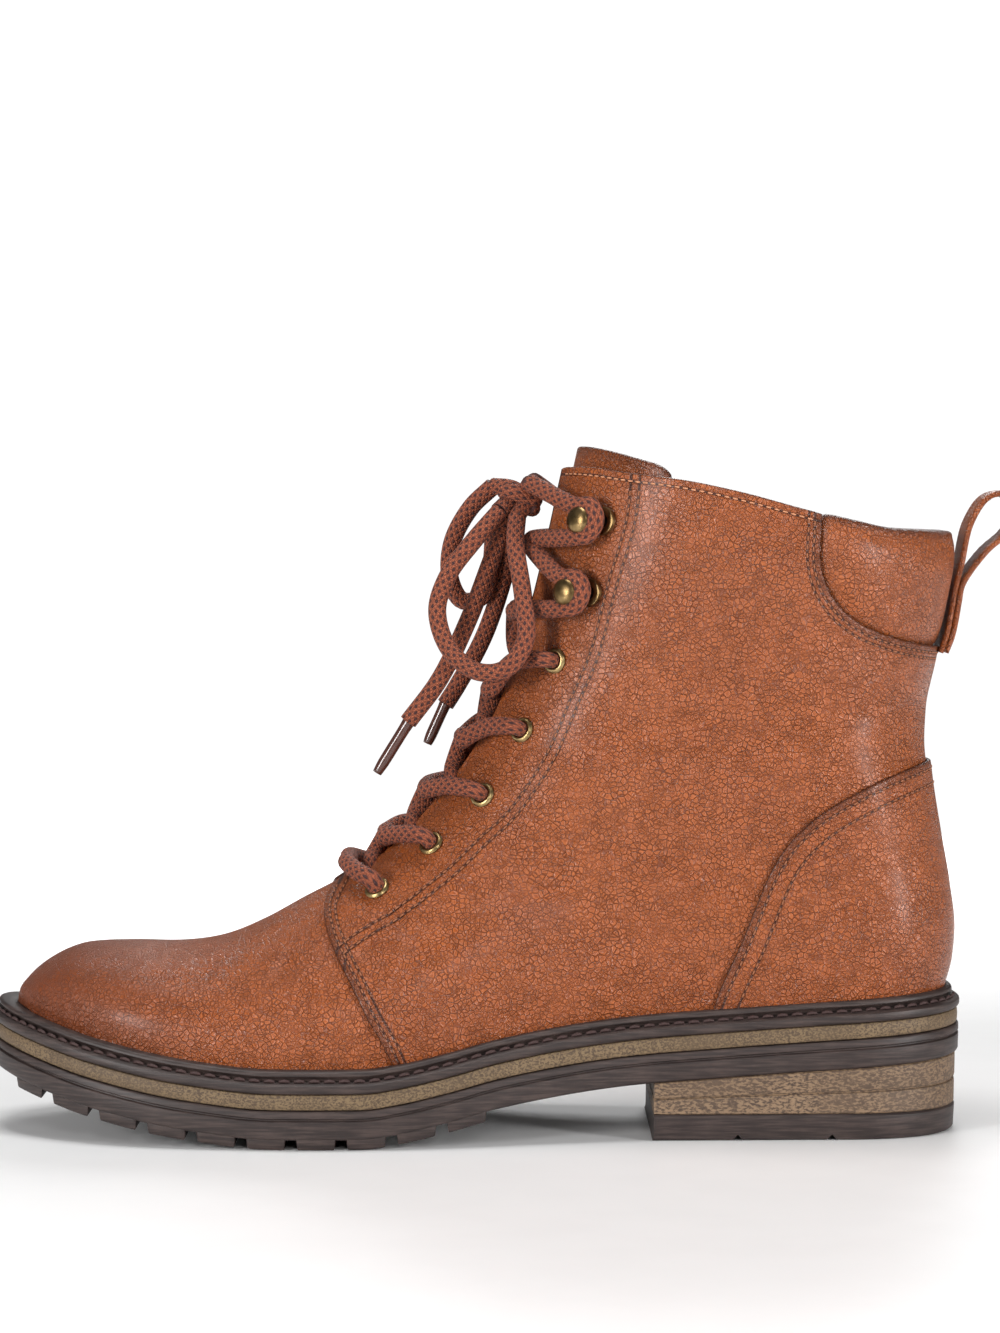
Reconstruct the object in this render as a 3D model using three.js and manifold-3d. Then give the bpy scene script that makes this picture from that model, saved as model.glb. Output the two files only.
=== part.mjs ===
// Lace-up ankle boot, left foot, in millimetres.
// Toe towards -X, heel towards +X, outer (lateral) side towards -Y, +Z up.
// The origin is on the floor, under the middle of the heel.

import * as THREE from 'three';
import { mergeVertices } from 'three/addons/utils/BufferGeometryUtils.js';
import Module from 'manifold-3d';

const wasm = await Module();
wasm.setup();

// Sole
const BOOT_LENGTH = 281;
const BALL_WIDTH = 101;
const HEEL_WIDTH = 65;
const HEEL_LENGTH = 89;
const TOE_SPRING = 16;
const HEEL_RISE = 19.5;
const TOP_LIFT_HEIGHT = 7.4;
const OUTSOLE_THICKNESS = 8.2;
const LUG_DEPTH = 2.9;
const LUG_PITCH = 14;
const LUG_SLOT = 3;
const LUG_CHANNEL = 6;
const LIFT_NOTCH = 3.4;
const MIDSOLE_THICKNESS = 4.6;
const WELT_THICKNESS = 6.3;
const WELT_WIDTH = 5.5;
const WELT_SEAT = 10;
const INSOLE_THICKNESS = 3;
const TOE_ROUND = 66;
const HEEL_ROUND = 36;
const TOE_SWING = 3.5;

// Upper
const SHAFT_HEIGHT = 190;
const COLLAR_WIDTH = 86;
const ANKLE_WIDTH = 67;
const UPPER_WALL = 2.4;
const VAMP_STEP = 1.2;
const LOW_BULGE = 2;
const THROAT_GAP = 19;
const COUNTER_THICKNESS = 1.3;
const PAD_THICKNESS = 3.4;
const PAD_LINING = 2;
const TONGUE_THICKNESS = 2.6;
const TONGUE_WIDTH = 50;
const TONGUE_RISE = 7;
const PULL_LOOP_WIDTH = 17;
const PULL_LOOP_THICKNESS = 1.9;

// Lacing
const EYELET_DIAMETER = 7.4;
const EYELET_BORE = 4.4;
const EYELET_WALL = 0.5;
const EYELET_RIM = 0.7;
const HOOK_HEAD = 6.4;
const HOOK_HEIGHT = 8.4;
const HOOK_NECK = 2.4;
const HOOK_REACH = 6;
const LACE_DIAMETER = 4.6;
const AGLET_DIAMETER = 3.4;

// Clearance between neighbouring pieces, and of the metal over the leather
const GAP = 0.3;
const METAL_GAP = 0.9;

// Worked out from the sizes above
const HEEL_BACK = HEEL_LENGTH / 2;
const TOE_TIP = HEEL_BACK - BOOT_LENGTH;
const SOLE_STACK = WELT_THICKNESS + MIDSOLE_THICKNESS + OUTSOLE_THICKNESS + LUG_DEPTH;
const LACE_RADIUS = LACE_DIAMETER / 2;
const alongToX = (along) => TOE_TIP + along * BOOT_LENGTH;
const xToAlong = (x) => (x - TOE_TIP) / BOOT_LENGTH;
const upToZ = (up) => up * SHAFT_HEIGHT;

// How finely the forms are divided
const SOLE_STATIONS = 18;
const FORM_STRIPS = 15;
const FORM_RINGS = 11;

// A smooth curve through rows, with no overshoot between them
function rowCurve(rows, from, to) {
  const xs = rows.map((row) => row[from]);
  const ys = rows.map((row) => row[to]);
  const slopes = xs.slice(1).map((x, i) => (ys[i + 1] - ys[i]) / (x - xs[i]));
  const tangents = xs.map((x, i) => {
    if (i === 0) return slopes[0];
    if (i === xs.length - 1) return slopes[i - 1];
    const before = slopes[i - 1];
    const after = slopes[i];
    return before * after <= 0 ? 0 : (2 * before * after) / (before + after);
  });
  return (x) => {
    const last = xs.length - 1;
    if (x <= xs[0]) return ys[0] + (x - xs[0]) * tangents[0];
    if (x >= xs[last]) return ys[last] + (x - xs[last]) * tangents[last];
    const i = xs.findIndex((value) => value > x) - 1;
    const step = xs[i + 1] - xs[i];
    const t = (x - xs[i]) / step;
    const rise = (3 - 2 * t) * t * t;
    const leave = t * (1 - t) * (1 - t) * step * tangents[i];
    const arrive = t * t * (t - 1) * step * tangents[i + 1];
    return ys[i] * (1 - rise) + ys[i + 1] * rise + leave + arrive;
  };
}

const clamp = (value, low, high) => Math.min(high, Math.max(low, value));
const smooth = (value, low, high) => {
  const t = clamp((value - low) / (high - low), 0, 1);
  return t * t * (3 - 2 * t);
};
const mix = (a, b, t) => a + (b - a) * t;

// A rounded end: 0 at its tip, 1 at and beyond its full depth
const rounded = (share, power) => (1 - (1 - clamp(share, 0, 1)) ** power) ** (1 / power);

// Sole plan: half widths at shares of the length, as shares of half the ball and half the heel
const SOLE_OUTLINE = [
  { along: 0, lateralBall: 0.9, lateralHeel: 0, medialBall: 0.88, medialHeel: 0 },
  { along: 0.2, lateralBall: 0.97, lateralHeel: 0, medialBall: 0.92, medialHeel: 0 },
  { along: 0.33, lateralBall: 1.03, lateralHeel: 0, medialBall: 0.97, medialHeel: 0 },
  { along: 0.46, lateralBall: 0.6, lateralHeel: 0.53, medialBall: 0.55, medialHeel: 0.45 },
  { along: 0.58, lateralBall: 0.2, lateralHeel: 0.9, medialBall: 0.16, medialHeel: 0.81 },
  { along: 0.7, lateralBall: 0, lateralHeel: 1.05, medialBall: 0, medialHeel: 0.97 },
  { along: 0.85, lateralBall: 0, lateralHeel: 1.01, medialBall: 0, medialHeel: 0.99 },
  { along: 1, lateralBall: 0, lateralHeel: 1, medialBall: 0, medialHeel: 1 },
];
const outlineColumn = Object.fromEntries(
  ['lateralBall', 'lateralHeel', 'medialBall', 'medialHeel'].map((column) => [
    column,
    rowCurve(SOLE_OUTLINE, 'along', column),
  ]),
);
const LATERAL = -1;
const MEDIAL = 1;
const SIDES = [
  { name: 'lateral', sign: LATERAL },
  { name: 'medial', sign: MEDIAL },
];

// Half width before its ends are rounded, on one side of the centre line
function plainHalfWidth(x, sign) {
  const along = clamp(xToAlong(x), 0, 1);
  const side = sign === LATERAL ? 'lateral' : 'medial';
  const ofBall = outlineColumn[`${side}Ball`](along) * BALL_WIDTH;
  const ofHeel = outlineColumn[`${side}Heel`](along) * HEEL_WIDTH;
  return (ofBall + ofHeel) / 2;
}

// The centre line swings towards the inner side at the toe
const swingShare = rowCurve(
  [
    { along: 0, share: 1 },
    { along: 0.3, share: 0.45 },
    { along: 0.55, share: 0 },
    { along: 1, share: 0 },
  ],
  'along',
  'share',
);
const centreY = (x) => TOE_SWING * swingShare(clamp(xToAlong(x), 0, 1));

const TOE_POWER = 2.05;
const HEEL_POWER = 2.35;

// The sole's plan edge moved inwards by an inset
function edgePoint(share, sign, inset) {
  const tip = TOE_TIP + inset;
  const back = HEEL_BACK - inset;
  const x = mix(tip, back, (1 - Math.cos(Math.PI * share)) / 2);
  const ends =
    rounded((x - tip) / (TOE_ROUND - inset / 2), TOE_POWER) *
    rounded((back - x) / (HEEL_ROUND - inset / 2), HEEL_POWER);
  return [x, centreY(x) + sign * (plainHalfWidth(x, sign) - inset) * ends];
}

// Height of the welt's top above the floor: the sole's layers, toe spring and heel rise
const SOLE_LINE = [
  { along: 0, toe: 1, heel: 0 },
  { along: 0.064, toe: 0.69, heel: 0 },
  { along: 0.114, toe: 0.46, heel: 0 },
  { along: 0.217, toe: 0.13, heel: 0 },
  { along: 0.3, toe: 0, heel: 0 },
  { along: 0.39, toe: 0, heel: 0 },
  { along: 0.423, toe: 0, heel: 0.06 },
  { along: 0.473, toe: 0, heel: 0.21 },
  { along: 0.527, toe: 0, heel: 0.4 },
  { along: 0.63, toe: 0, heel: 0.63 },
  { along: 0.733, toe: 0, heel: 0.755 },
  { along: 0.886, toe: 0, heel: 0.9 },
  { along: 1, toe: 0, heel: 1 },
];
const toeRise = rowCurve(SOLE_LINE, 'along', 'toe');
const heelRise = rowCurve(SOLE_LINE, 'along', 'heel');
function weltTop(x) {
  const along = clamp(xToAlong(x), 0, 1);
  return SOLE_STACK + TOE_SPRING * toeRise(along) + HEEL_RISE * heelRise(along);
}
const midsoleTop = (x) => weltTop(x) - WELT_THICKNESS;
const outsoleTop = (x) => midsoleTop(x) - MIDSOLE_THICKNESS;
const outsoleBottom = (x) => outsoleTop(x) - OUTSOLE_THICKNESS;
const lugBottom = (x) => Math.max(0, outsoleBottom(x) - LUG_DEPTH);

// Closed meshes and the solids made from them

function toSolid(vertices, triangles) {
  const raw = new THREE.BufferGeometry();
  raw.setAttribute('position', new THREE.Float32BufferAttribute(vertices, 3));
  raw.setIndex(triangles);
  return geometrySolid(raw);
}

function geometrySolid(geometry) {
  geometry.deleteAttribute('normal');
  geometry.deleteAttribute('uv');
  const merged = mergeVertices(geometry, 1e-4);
  const index = merged.index.array;
  const kept = [];
  for (let i = 0; i < index.length; i += 3) {
    const [a, b, c] = [index[i], index[i + 1], index[i + 2]];
    if (a !== b && b !== c && c !== a) kept.push(a, b, c);
  }
  const vertProperties = new Float32Array(merged.attributes.position.array);
  const solid = new wasm.Manifold(
    new wasm.Mesh({ numProp: 3, vertProperties, triVerts: new Uint32Array(kept) }),
  );
  if (solid.volume() > 0) return solid;
  const turned = kept.map((value, i) => (i % 3 === 0 ? value : kept[i + (i % 3 === 1 ? 1 : -1)]));
  return new wasm.Manifold(
    new wasm.Mesh({ numProp: 3, vertProperties, triVerts: new Uint32Array(turned) }),
  );
}

function solidGeometry(solid) {
  const mesh = solid.getMesh();
  const geometry = new THREE.BufferGeometry();
  geometry.setAttribute('position', new THREE.Float32BufferAttribute(mesh.vertProperties, 3));
  geometry.setIndex([...mesh.triVerts]);
  geometry.computeVertexNormals();
  return geometry;
}

// A closed solid from rings of points, each ring the same length
function ringSolid(rings, closed) {
  const count = rings[0].length;
  const vertices = rings.flat(2);
  const triangles = [];
  const at = (ring, i) => ring * count + (i % count);
  const quad = (a, b, c, d) => triangles.push(a, b, c, a, c, d);
  const bands = closed ? rings.length : rings.length - 1;
  for (let ring = 0; ring < bands; ring += 1) {
    const next = (ring + 1) % rings.length;
    for (let i = 0; i < count; i += 1) {
      quad(at(ring, i), at(ring, i + 1), at(next, i + 1), at(next, i));
    }
  }
  if (!closed) {
    const half = count / 2;
    for (let i = 0; i < half; i += 1) {
      const across = (j) => (count - j) % count;
      quad(at(0, across(i)), at(0, across(i + 1)), at(0, i + 1), at(0, i));
      const top = rings.length - 1;
      quad(at(top, i), at(top, i + 1), at(top, across(i + 1)), at(top, across(i)));
    }
  }
  return toSolid(vertices, triangles);
}

// A layer of the sole: levels from bottom to top, each with its height line and inset. Its ring
// runs from the middle of the front end along the lateral side and home along the medial side
function soleLayer(levels, from = 0, to = 1) {
  const shares = [...Array(SOLE_STATIONS + 1).keys()].map((i) => mix(from, to, i / SOLE_STATIONS));
  const rings = levels.map(({ height, inset }) => {
    const [lateral, medial] = [LATERAL, MEDIAL].map((sign) =>
      shares.map((share) => edgePoint(share, sign, inset)),
    );
    const [front, back] = [lateral[0], lateral.at(-1)].map(([x]) => [x, centreY(x)]);
    const ring = [front, ...lateral, back, ...medial.reverse()];
    return ring.map(([x, y]) => [x, y, height(x)]);
  });
  return ringSolid(rings, false);
}

function boxSolid(x, y, z, length, width, height) {
  const geometry = new THREE.BoxGeometry(length, width, height);
  geometry.translate(x, y, z);
  return geometrySolid(geometry);
}

// A side-view outline made solid across the boot
function sidePrism(points, fromY, toY) {
  const shape = new THREE.Shape(points.map(([x, z]) => new THREE.Vector2(x, z)));
  const geometry = new THREE.ExtrudeGeometry(shape, { depth: toY - fromY, bevelEnabled: false });
  geometry.rotateX(Math.PI / 2);
  geometry.translate(0, toY, 0);
  return geometrySolid(geometry);
}

function tubeSolid(points, diameter, steps, sides = 10) {
  const path = new THREE.CatmullRomCurve3(points.map((point) => new THREE.Vector3(...point)));
  const corners = [...Array(sides).keys()].map((i) => {
    const turn = (2 * Math.PI * (i + 0.5)) / sides;
    return new THREE.Vector2(Math.cos(turn), Math.sin(turn)).multiplyScalar(diameter / 2);
  });
  const options = { steps, bevelEnabled: false, extrudePath: path };
  return geometrySolid(new THREE.ExtrudeGeometry(new THREE.Shape(corners), options));
}

// The upper's form, from its side outline and its half widths

// Ridge from the toe tip over the vamp and up the shin, in shares of the length and shaft height
const RIDGE = [
  { along: 0.0235, up: 0.1885 },
  { along: 0.0265, up: 0.212 },
  { along: 0.0335, up: 0.2255 },
  { along: 0.0435, up: 0.241 },
  { along: 0.055, up: 0.254 },
  { along: 0.0735, up: 0.2695 },
  { along: 0.094, up: 0.28 },
  { along: 0.115, up: 0.2835 },
  { along: 0.15, up: 0.2845 },
  { along: 0.198, up: 0.284 },
  { along: 0.24, up: 0.2935 },
  { along: 0.281, up: 0.3185 },
  { along: 0.322, up: 0.352 },
  { along: 0.3635, up: 0.385 },
  { along: 0.413, up: 0.437 },
  { along: 0.458, up: 0.513 },
  { along: 0.492, up: 0.582 },
  { along: 0.515, up: 0.64 },
  { along: 0.533, up: 0.705 },
  { along: 0.5525, up: 0.8 },
  { along: 0.569, up: 0.897 },
  { along: 0.5845, up: 1.0 },
];
const RIDGE_EXTENSION = { along: 0.6, up: 1.1 };
const ridgeCurve = new THREE.CatmullRomCurve3(
  RIDGE.map(({ along, up }) => new THREE.Vector3(alongToX(along), 0, upToZ(up))),
  false,
  'centripetal',
);
const RIDGE_SAMPLES = 160;
const ridgeSamples = ridgeCurve.getSpacedPoints(RIDGE_SAMPLES);
ridgeSamples.push(new THREE.Vector3(alongToX(RIDGE_EXTENSION.along), 0, upToZ(RIDGE_EXTENSION.up)));

// Reads one coordinate of the ridge from the other, carrying on straight past its ends
function ridgeRead(value, from, to) {
  let i = ridgeSamples.findIndex((point) => point[from] > value);
  if (i === -1) i = ridgeSamples.length - 1;
  i = Math.max(i, 1);
  const before = ridgeSamples[i - 1];
  const after = ridgeSamples[i];
  return mix(before[to], after[to], (value - before[from]) / (after[from] - before[from]));
}
const TOE_TOP_Z = upToZ(0.2935);
const ridgeZ = (x) => ridgeRead(x, 'x', 'z');
const ridgeX = (z) => (z < TOE_TOP_Z ? alongToX(0.24) : ridgeRead(z, 'z', 'x'));

// Back of the upper, from the feather line to the collar
const BACK = [
  { up: 0.2, back: 0.86 },
  { up: 0.225, back: 0.885 },
  { up: 0.262, back: 0.922 },
  { up: 0.305, back: 0.936 },
  { up: 0.372, back: 0.904 },
  { up: 0.442, back: 0.852 },
  { up: 0.535, back: 0.79 },
  { up: 0.59, back: 0.768 },
  { up: 0.64, back: 0.78 },
  { up: 0.72, back: 0.85 },
  { up: 0.8, back: 0.905 },
  { up: 0.868, back: 0.96 },
  { up: 0.905, back: 0.985 },
];
const backShare = rowCurve(BACK, 'up', 'back');
const backX = (z) => HEEL_BACK * backShare(z / SHAFT_HEIGHT);

// Collar line, from the top of the facing to the back
const COLLAR = [
  { along: 0.5845, up: 1.0 },
  { along: 0.605, up: 1.0 },
  { along: 0.658, up: 0.989 },
  { along: 0.708, up: 0.979 },
  { along: 0.765, up: 0.961 },
  { along: 0.838, up: 0.932 },
  { along: 0.886, up: 0.916 },
  { along: 0.925, up: 0.905 },
  { along: 1.0, up: 0.9 },
];
const collarUp = rowCurve(COLLAR, 'along', 'up');
const collarZ = (x) => upToZ(collarUp(xToAlong(x)));
const COLLAR_BACK_Z = upToZ(0.9);

// Half width of the shaft at a height, as a share of the ankle's and the collar's
const SHAFT_FULLNESS = [
  { up: 0.2, ankle: 0.96, collar: 0 },
  { up: 0.35, ankle: 0.97, collar: 0 },
  { up: 0.58, ankle: 1.0, collar: 0 },
  { up: 0.72, ankle: 0.72, collar: 0.3 },
  { up: 0.87, ankle: 0.25, collar: 0.76 },
  { up: 1.0, ankle: 0, collar: 1 },
  { up: 1.1, ankle: 0, collar: 1.01 },
];
const shaftOfAnkle = rowCurve(SHAFT_FULLNESS, 'up', 'ankle');
const shaftOfCollar = rowCurve(SHAFT_FULLNESS, 'up', 'collar');
const shaftHalfWidth = (z) => {
  const up = z / SHAFT_HEIGHT;
  return (shaftOfAnkle(up) * ANKLE_WIDTH + shaftOfCollar(up) * COLLAR_WIDTH) / 2;
};

const FEATHER_TIP = TOE_TIP + WELT_WIDTH + 1;
const FEATHER_BACK = HEEL_BACK * 0.86;
const FAN_X = HEEL_BACK * 0.25;
const FAN_Z = SHAFT_HEIGHT * 0.13;
const FAN_LOW = 22;
const FAN_HIGH = 52;
const FRONT_ROUND = 58;

// Half width of the upper at a place in its side view
function halfWidth(x, z, sign) {
  const feather = weltTop(x);
  const fan = (Math.atan2(z - FAN_Z, Math.max(FAN_X - x, 1)) * 180) / Math.PI;
  const toeEnd = rounded((x - FEATHER_TIP) / (TOE_ROUND - WELT_WIDTH / 2), TOE_POWER);
  const climb = (z - feather) / (0.19 * SHAFT_HEIGHT);
  const bulge = LOW_BULGE * Math.sin(Math.PI * clamp(climb, 0, 1));
  const base = (plainHalfWidth(x, sign) - WELT_WIDTH) * toeEnd + bulge;
  const toShaft = smooth(z - feather, 0.05 * SHAFT_HEIGHT, 0.42 * SHAFT_HEIGHT) * smooth(fan, 12, 42);
  const full = mix(base, shaftHalfWidth(z), toShaft);
  const ridge = ridgeZ(x);
  const power = mix(2.25, 1.85, smooth(xToAlong(x), 0.15, 0.45));
  const underRidge = rounded((ridge - z) / Math.max(ridge - feather, 0.01), power);
  const behindRidge = rounded((x - ridgeX(z)) / FRONT_ROUND, 1.95);
  const front = mix(underRidge, behindRidge, smooth(fan, FAN_LOW, FAN_HIGH));
  const high = smooth(z, 0.4 * SHAFT_HEIGHT, 0.85 * SHAFT_HEIGHT);
  const backDepth = mix(HEEL_ROUND - WELT_WIDTH / 2, HEEL_LENGTH * 0.52, high);
  const backPower = mix(HEEL_POWER, 2, smooth(z, 0.3 * SHAFT_HEIGHT, 0.7 * SHAFT_HEIGHT));
  return full * front * rounded((backX(z) - x) / backDepth, backPower);
}

// The side outline is a patch with four edges: feather line, ridge, collar and back
const RIDGE_PACE = 1.35;
const FEATHER_Z = (x) => weltTop(x) - 1;
function sideGrid() {
  const featherAt = (t) => {
    const x = mix(alongToX(RIDGE[0].along), FEATHER_BACK, t);
    return [x, mix(FEATHER_Z(x), upToZ(RIDGE[0].up), smooth(x, alongToX(0.06), alongToX(0.02)))];
  };
  const collarAt = (t) => {
    const x = mix(ridgeCurve.points.at(-1).x, backX(COLLAR_BACK_Z), t);
    return [x, collarZ(x)];
  };
  const ridgeAt = (t) => {
    const point = ridgeCurve.getPointAt(clamp(t, 0, 1) ** RIDGE_PACE);
    return [point.x, point.z];
  };
  const heelZ = featherAt(1)[1];
  const backTop = collarAt(1)[1];
  const backAt = (t) => {
    const z = mix(heelZ, backTop, t);
    return [mix(FEATHER_BACK, backX(z), smooth(t, 0, 0.05)), z];
  };
  const corners = [featherAt(0), featherAt(1), collarAt(0), collarAt(1)];
  const grid = [];
  for (let ring = 0; ring <= FORM_RINGS; ring += 1) {
    const v = ring / FORM_RINGS;
    const row = [];
    for (let strip = 0; strip <= FORM_STRIPS; strip += 1) {
      const u = (1 - Math.cos((Math.PI * strip) / FORM_STRIPS)) / 2;
      const [low, high, left, right] = [featherAt(u), collarAt(u), ridgeAt(v), backAt(v)];
      row.push(
        [0, 1].map(
          (axis) => {
            const [a, b, c, d] = corners.map((corner) => corner[axis]);
            const level = mix(mix(a, b, u), mix(c, d, u), v);
            return mix(low[axis], high[axis], v) + mix(left[axis], right[axis], u) - level;
          },
        ),
      );
    }
    grid.push(row);
  }
  return grid;
}

// Rings of the upper's form: lateral side from ridge to back, then the medial side home again
const formRings = sideGrid().map((row) => {
  const place = ([x, z], sign, strip) => {
    const edge = strip === 0 || strip === FORM_STRIPS;
    const sway = centreY(x) * smooth(upToZ(0.55) - z, 0, upToZ(0.2));
    return new THREE.Vector3(x, sway + (edge ? 0 : sign * halfWidth(x, z, sign)), z);
  };
  const lateral = row.map((point, strip) => place(point, LATERAL, strip));
  const medial = row.map((point, strip) => place(point, MEDIAL, strip));
  return [...lateral, ...medial.slice(1, -1).reverse()];
});

const formNormals = formRings.map((ring, r) => {
  const before = formRings[Math.max(r - 1, 0)];
  const after = formRings[Math.min(r + 1, formRings.length - 1)];
  return ring.map((point, i) => {
    const around = ring[(i + 1) % ring.length].clone().sub(ring[(i + ring.length - 1) % ring.length]);
    const upwards = after[i].clone().sub(before[i]);
    return upwards.cross(around).normalize();
  });
});
if (formNormals[5][5].y > 0) formNormals.flat().forEach((normal) => normal.negate());

// The form grown or shrunk by an offset, and lengthened below and above
function formSolid(offset, { below = 0, above = 0 } = {}) {
  const rings = formRings.map((ring, r) =>
    ring.map((point, i) => {
      const moved = point.clone().addScaledVector(formNormals[r][i], offset);
      if (r === 0) moved.z = point.z;
      return moved.toArray();
    }),
  );
  if (below > 0) rings.unshift(rings[0].map(([x, y, z]) => [x, y, z - below]));
  if (above > 0) {
    const top = rings.at(-1);
    const under = rings.at(-3);
    const lifted = top.map((point, i) => {
      const run = new THREE.Vector3(...point).sub(new THREE.Vector3(...under[i]));
      run.multiplyScalar(above / Math.max(run.z, 1));
      return [point[0] + run.x, point[1] + run.y, point[2] + above];
    });
    rings.push(lifted);
  }
  return ringSolid(rings, false);
}

// Side-view edges of the panels, in shares of the length and shaft height
const QUARTER_EDGE = [
  { along: 0.385, up: 0.47 },
  { along: 0.363, up: 0.395 },
  { along: 0.349, up: 0.35 },
  { along: 0.352, up: 0.32 },
  { along: 0.365, up: 0.279 },
  { along: 0.381, up: 0.237 },
  { along: 0.396, up: 0.193 },
  { along: 0.412, up: 0.152 },
  { along: 0.43, up: 0.09 },
];
const COUNTER_EDGE = [
  { along: 1.02, up: 0.557 },
  { along: 0.965, up: 0.556 },
  { along: 0.948, up: 0.551 },
  { along: 0.912, up: 0.534 },
  { along: 0.884, up: 0.515 },
  { along: 0.853, up: 0.489 },
  { along: 0.833, up: 0.465 },
  { along: 0.815, up: 0.436 },
  { along: 0.801, up: 0.402 },
  { along: 0.79, up: 0.365 },
  { along: 0.78, up: 0.328 },
  { along: 0.769, up: 0.288 },
  { along: 0.757, up: 0.25 },
  { along: 0.746, up: 0.21 },
  { along: 0.735, up: 0.15 },
  { along: 1.02, up: 0.15 },
];
const PAD_EDGE = [
  { along: 0.8445, up: 1.05 },
  { along: 0.843, up: 0.91 },
  { along: 0.842, up: 0.867 },
  { along: 0.846, up: 0.837 },
  { along: 0.854, up: 0.811 },
  { along: 0.868, up: 0.786 },
  { along: 0.888, up: 0.765 },
  { along: 0.912, up: 0.75 },
  { along: 0.937, up: 0.739 },
  { along: 0.966, up: 0.731 },
  { along: 1.03, up: 0.722 },
  { along: 1.03, up: 1.05 },
];
const sidePoints = (rows) => rows.map(({ along, up }) => [alongToX(along), upToZ(up)]);
const ACROSS = COLLAR_WIDTH;

// An outline moved inwards, for the gap round what it holds
function shrinkOutline(points, inset) {
  const middle = points.reduce((sum, [x, z]) => [sum[0] + x, sum[1] + z], [0, 0]);
  const [cx, cz] = middle.map((value) => value / points.length);
  return points.map(([x, z]) => {
    const reach = Math.hypot(x - cx, z - cz);
    return [x - ((x - cx) * inset) / reach, z - ((z - cz) * inset) / reach];
  });
}

// Where the metal and lace go: a point of the upper's outer surface and its outward direction
function surfaceAt(x, z, sign) {
  const step = 1;
  const slopeX = (halfWidth(x + step, z, sign) - halfWidth(x - step, z, sign)) / (2 * step);
  const slopeZ = (halfWidth(x, z + step, sign) - halfWidth(x, z - step, sign)) / (2 * step);
  const sway = centreY(x) * smooth(upToZ(0.55) - z, 0, upToZ(0.2));
  const point = new THREE.Vector3(x, sway + sign * halfWidth(x, z, sign), z);
  return { point, out: new THREE.Vector3(-slopeX, sign, -slopeZ).normalize() };
}

// A solid made along +Z is set on the upper with +Z outwards and +X towards the heel
function setOnSurface(solid, { point, out }, lift) {
  const back = new THREE.Vector3(1, 0, 0).addScaledVector(out, -out.x).normalize();
  const side = out.clone().cross(back);
  const place = new THREE.Matrix4().makeBasis(back, side, out);
  place.setPosition(point.clone().addScaledVector(out, lift));
  return solid.transform(place.toArray());
}

const EYELETS = [
  { along: 0.4023, up: 0.371 },
  { along: 0.457, up: 0.438 },
  { along: 0.509, up: 0.511 },
  { along: 0.549, up: 0.6085 },
  { along: 0.582, up: 0.7125 },
];
const HOOKS = [
  { along: 0.5945, up: 0.819 },
  { along: 0.6085, up: 0.925 },
];
const spotsOn = (rows, sign) => rows.map(({ along, up }) => surfaceAt(alongToX(along), upToZ(up), sign));

const leather = new THREE.MeshStandardMaterial({ color: 0xa5603f, roughness: 0.5, metalness: 0 });
const darkLeather = new THREE.MeshStandardMaterial({ color: 0x95552f, roughness: 0.5, metalness: 0 });
const rubber = new THREE.MeshStandardMaterial({ color: 0x3f3735, roughness: 0.65, metalness: 0 });
const stacked = new THREE.MeshStandardMaterial({ color: 0x7d6647, roughness: 0.7, metalness: 0 });
const lining = new THREE.MeshStandardMaterial({ color: 0x6b4a3a, roughness: 0.85, metalness: 0 });
const brass = new THREE.MeshStandardMaterial({ color: 0x8c7340, roughness: 0.35, metalness: 1 });
const laceCloth = new THREE.MeshStandardMaterial({ color: 0x7a4a3c, roughness: 0.8, metalness: 0 });
const tipPlastic = new THREE.MeshStandardMaterial({ color: 0x4a2a20, roughness: 0.3, metalness: 0 });

const boot = new THREE.Group();
function addPiece(name, solid, material) {
  const mesh = new THREE.Mesh(solidGeometry(solid), material);
  mesh.name = name;
  boot.add(mesh);
}

// Outsole: an edge with a lip and a groove, and a forepart of lugs
const LUG_FROM = 0.035;
const LUG_TO = 0.52;
const stationAt = (along) => Math.acos(1 - 2 * along) / Math.PI;
function outsole() {
  const line = (share) => (x) => mix(outsoleBottom(x), outsoleTop(x), share);
  const plate = soleLayer([
    { height: line(0), inset: 0.9 },
    { height: line(0.66), inset: 0.3 },
    { height: line(0.72), inset: 1 },
    { height: line(0.78), inset: 0.3 },
    { height: line(1), inset: 0.5 },
  ]);
  let lugs = soleLayer(
    [
      { height: lugBottom, inset: 2.2 },
      { height: (x) => lugBottom(x) + LUG_DEPTH / 2, inset: 1.2 },
      { height: line(0.3), inset: 1.4 },
    ],
    stationAt(LUG_FROM),
    stationAt(LUG_TO),
  );
  const first = alongToX(LUG_FROM) + 0.7 * LUG_PITCH;
  const count = Math.floor((alongToX(LUG_TO) - first) / LUG_PITCH);
  for (let i = 0; i <= count; i += 1) {
    const x = first + i * LUG_PITCH;
    const roof = outsoleBottom(x);
    lugs = lugs.subtract(boxSolid(x, 0, roof - LUG_DEPTH, LUG_SLOT, 2 * BALL_WIDTH, 2 * LUG_DEPTH));
    const between = x + LUG_PITCH / 2;
    const over = outsoleBottom(between);
    lugs = lugs.subtract(boxSolid(between, 0, over - LUG_DEPTH, LUG_PITCH, LUG_CHANNEL, 2 * LUG_DEPTH));
  }
  return plate.add(lugs);
}

function midsole() {
  const bottom = (x) => outsoleTop(x) + GAP;
  return soleLayer([
    { height: bottom, inset: 1.2 },
    { height: (x) => bottom(x) + 0.5, inset: 0.8 },
    { height: (x) => midsoleTop(x) - 0.5, inset: 0.8 },
    { height: midsoleTop, inset: 1.2 },
  ]);
}

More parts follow.
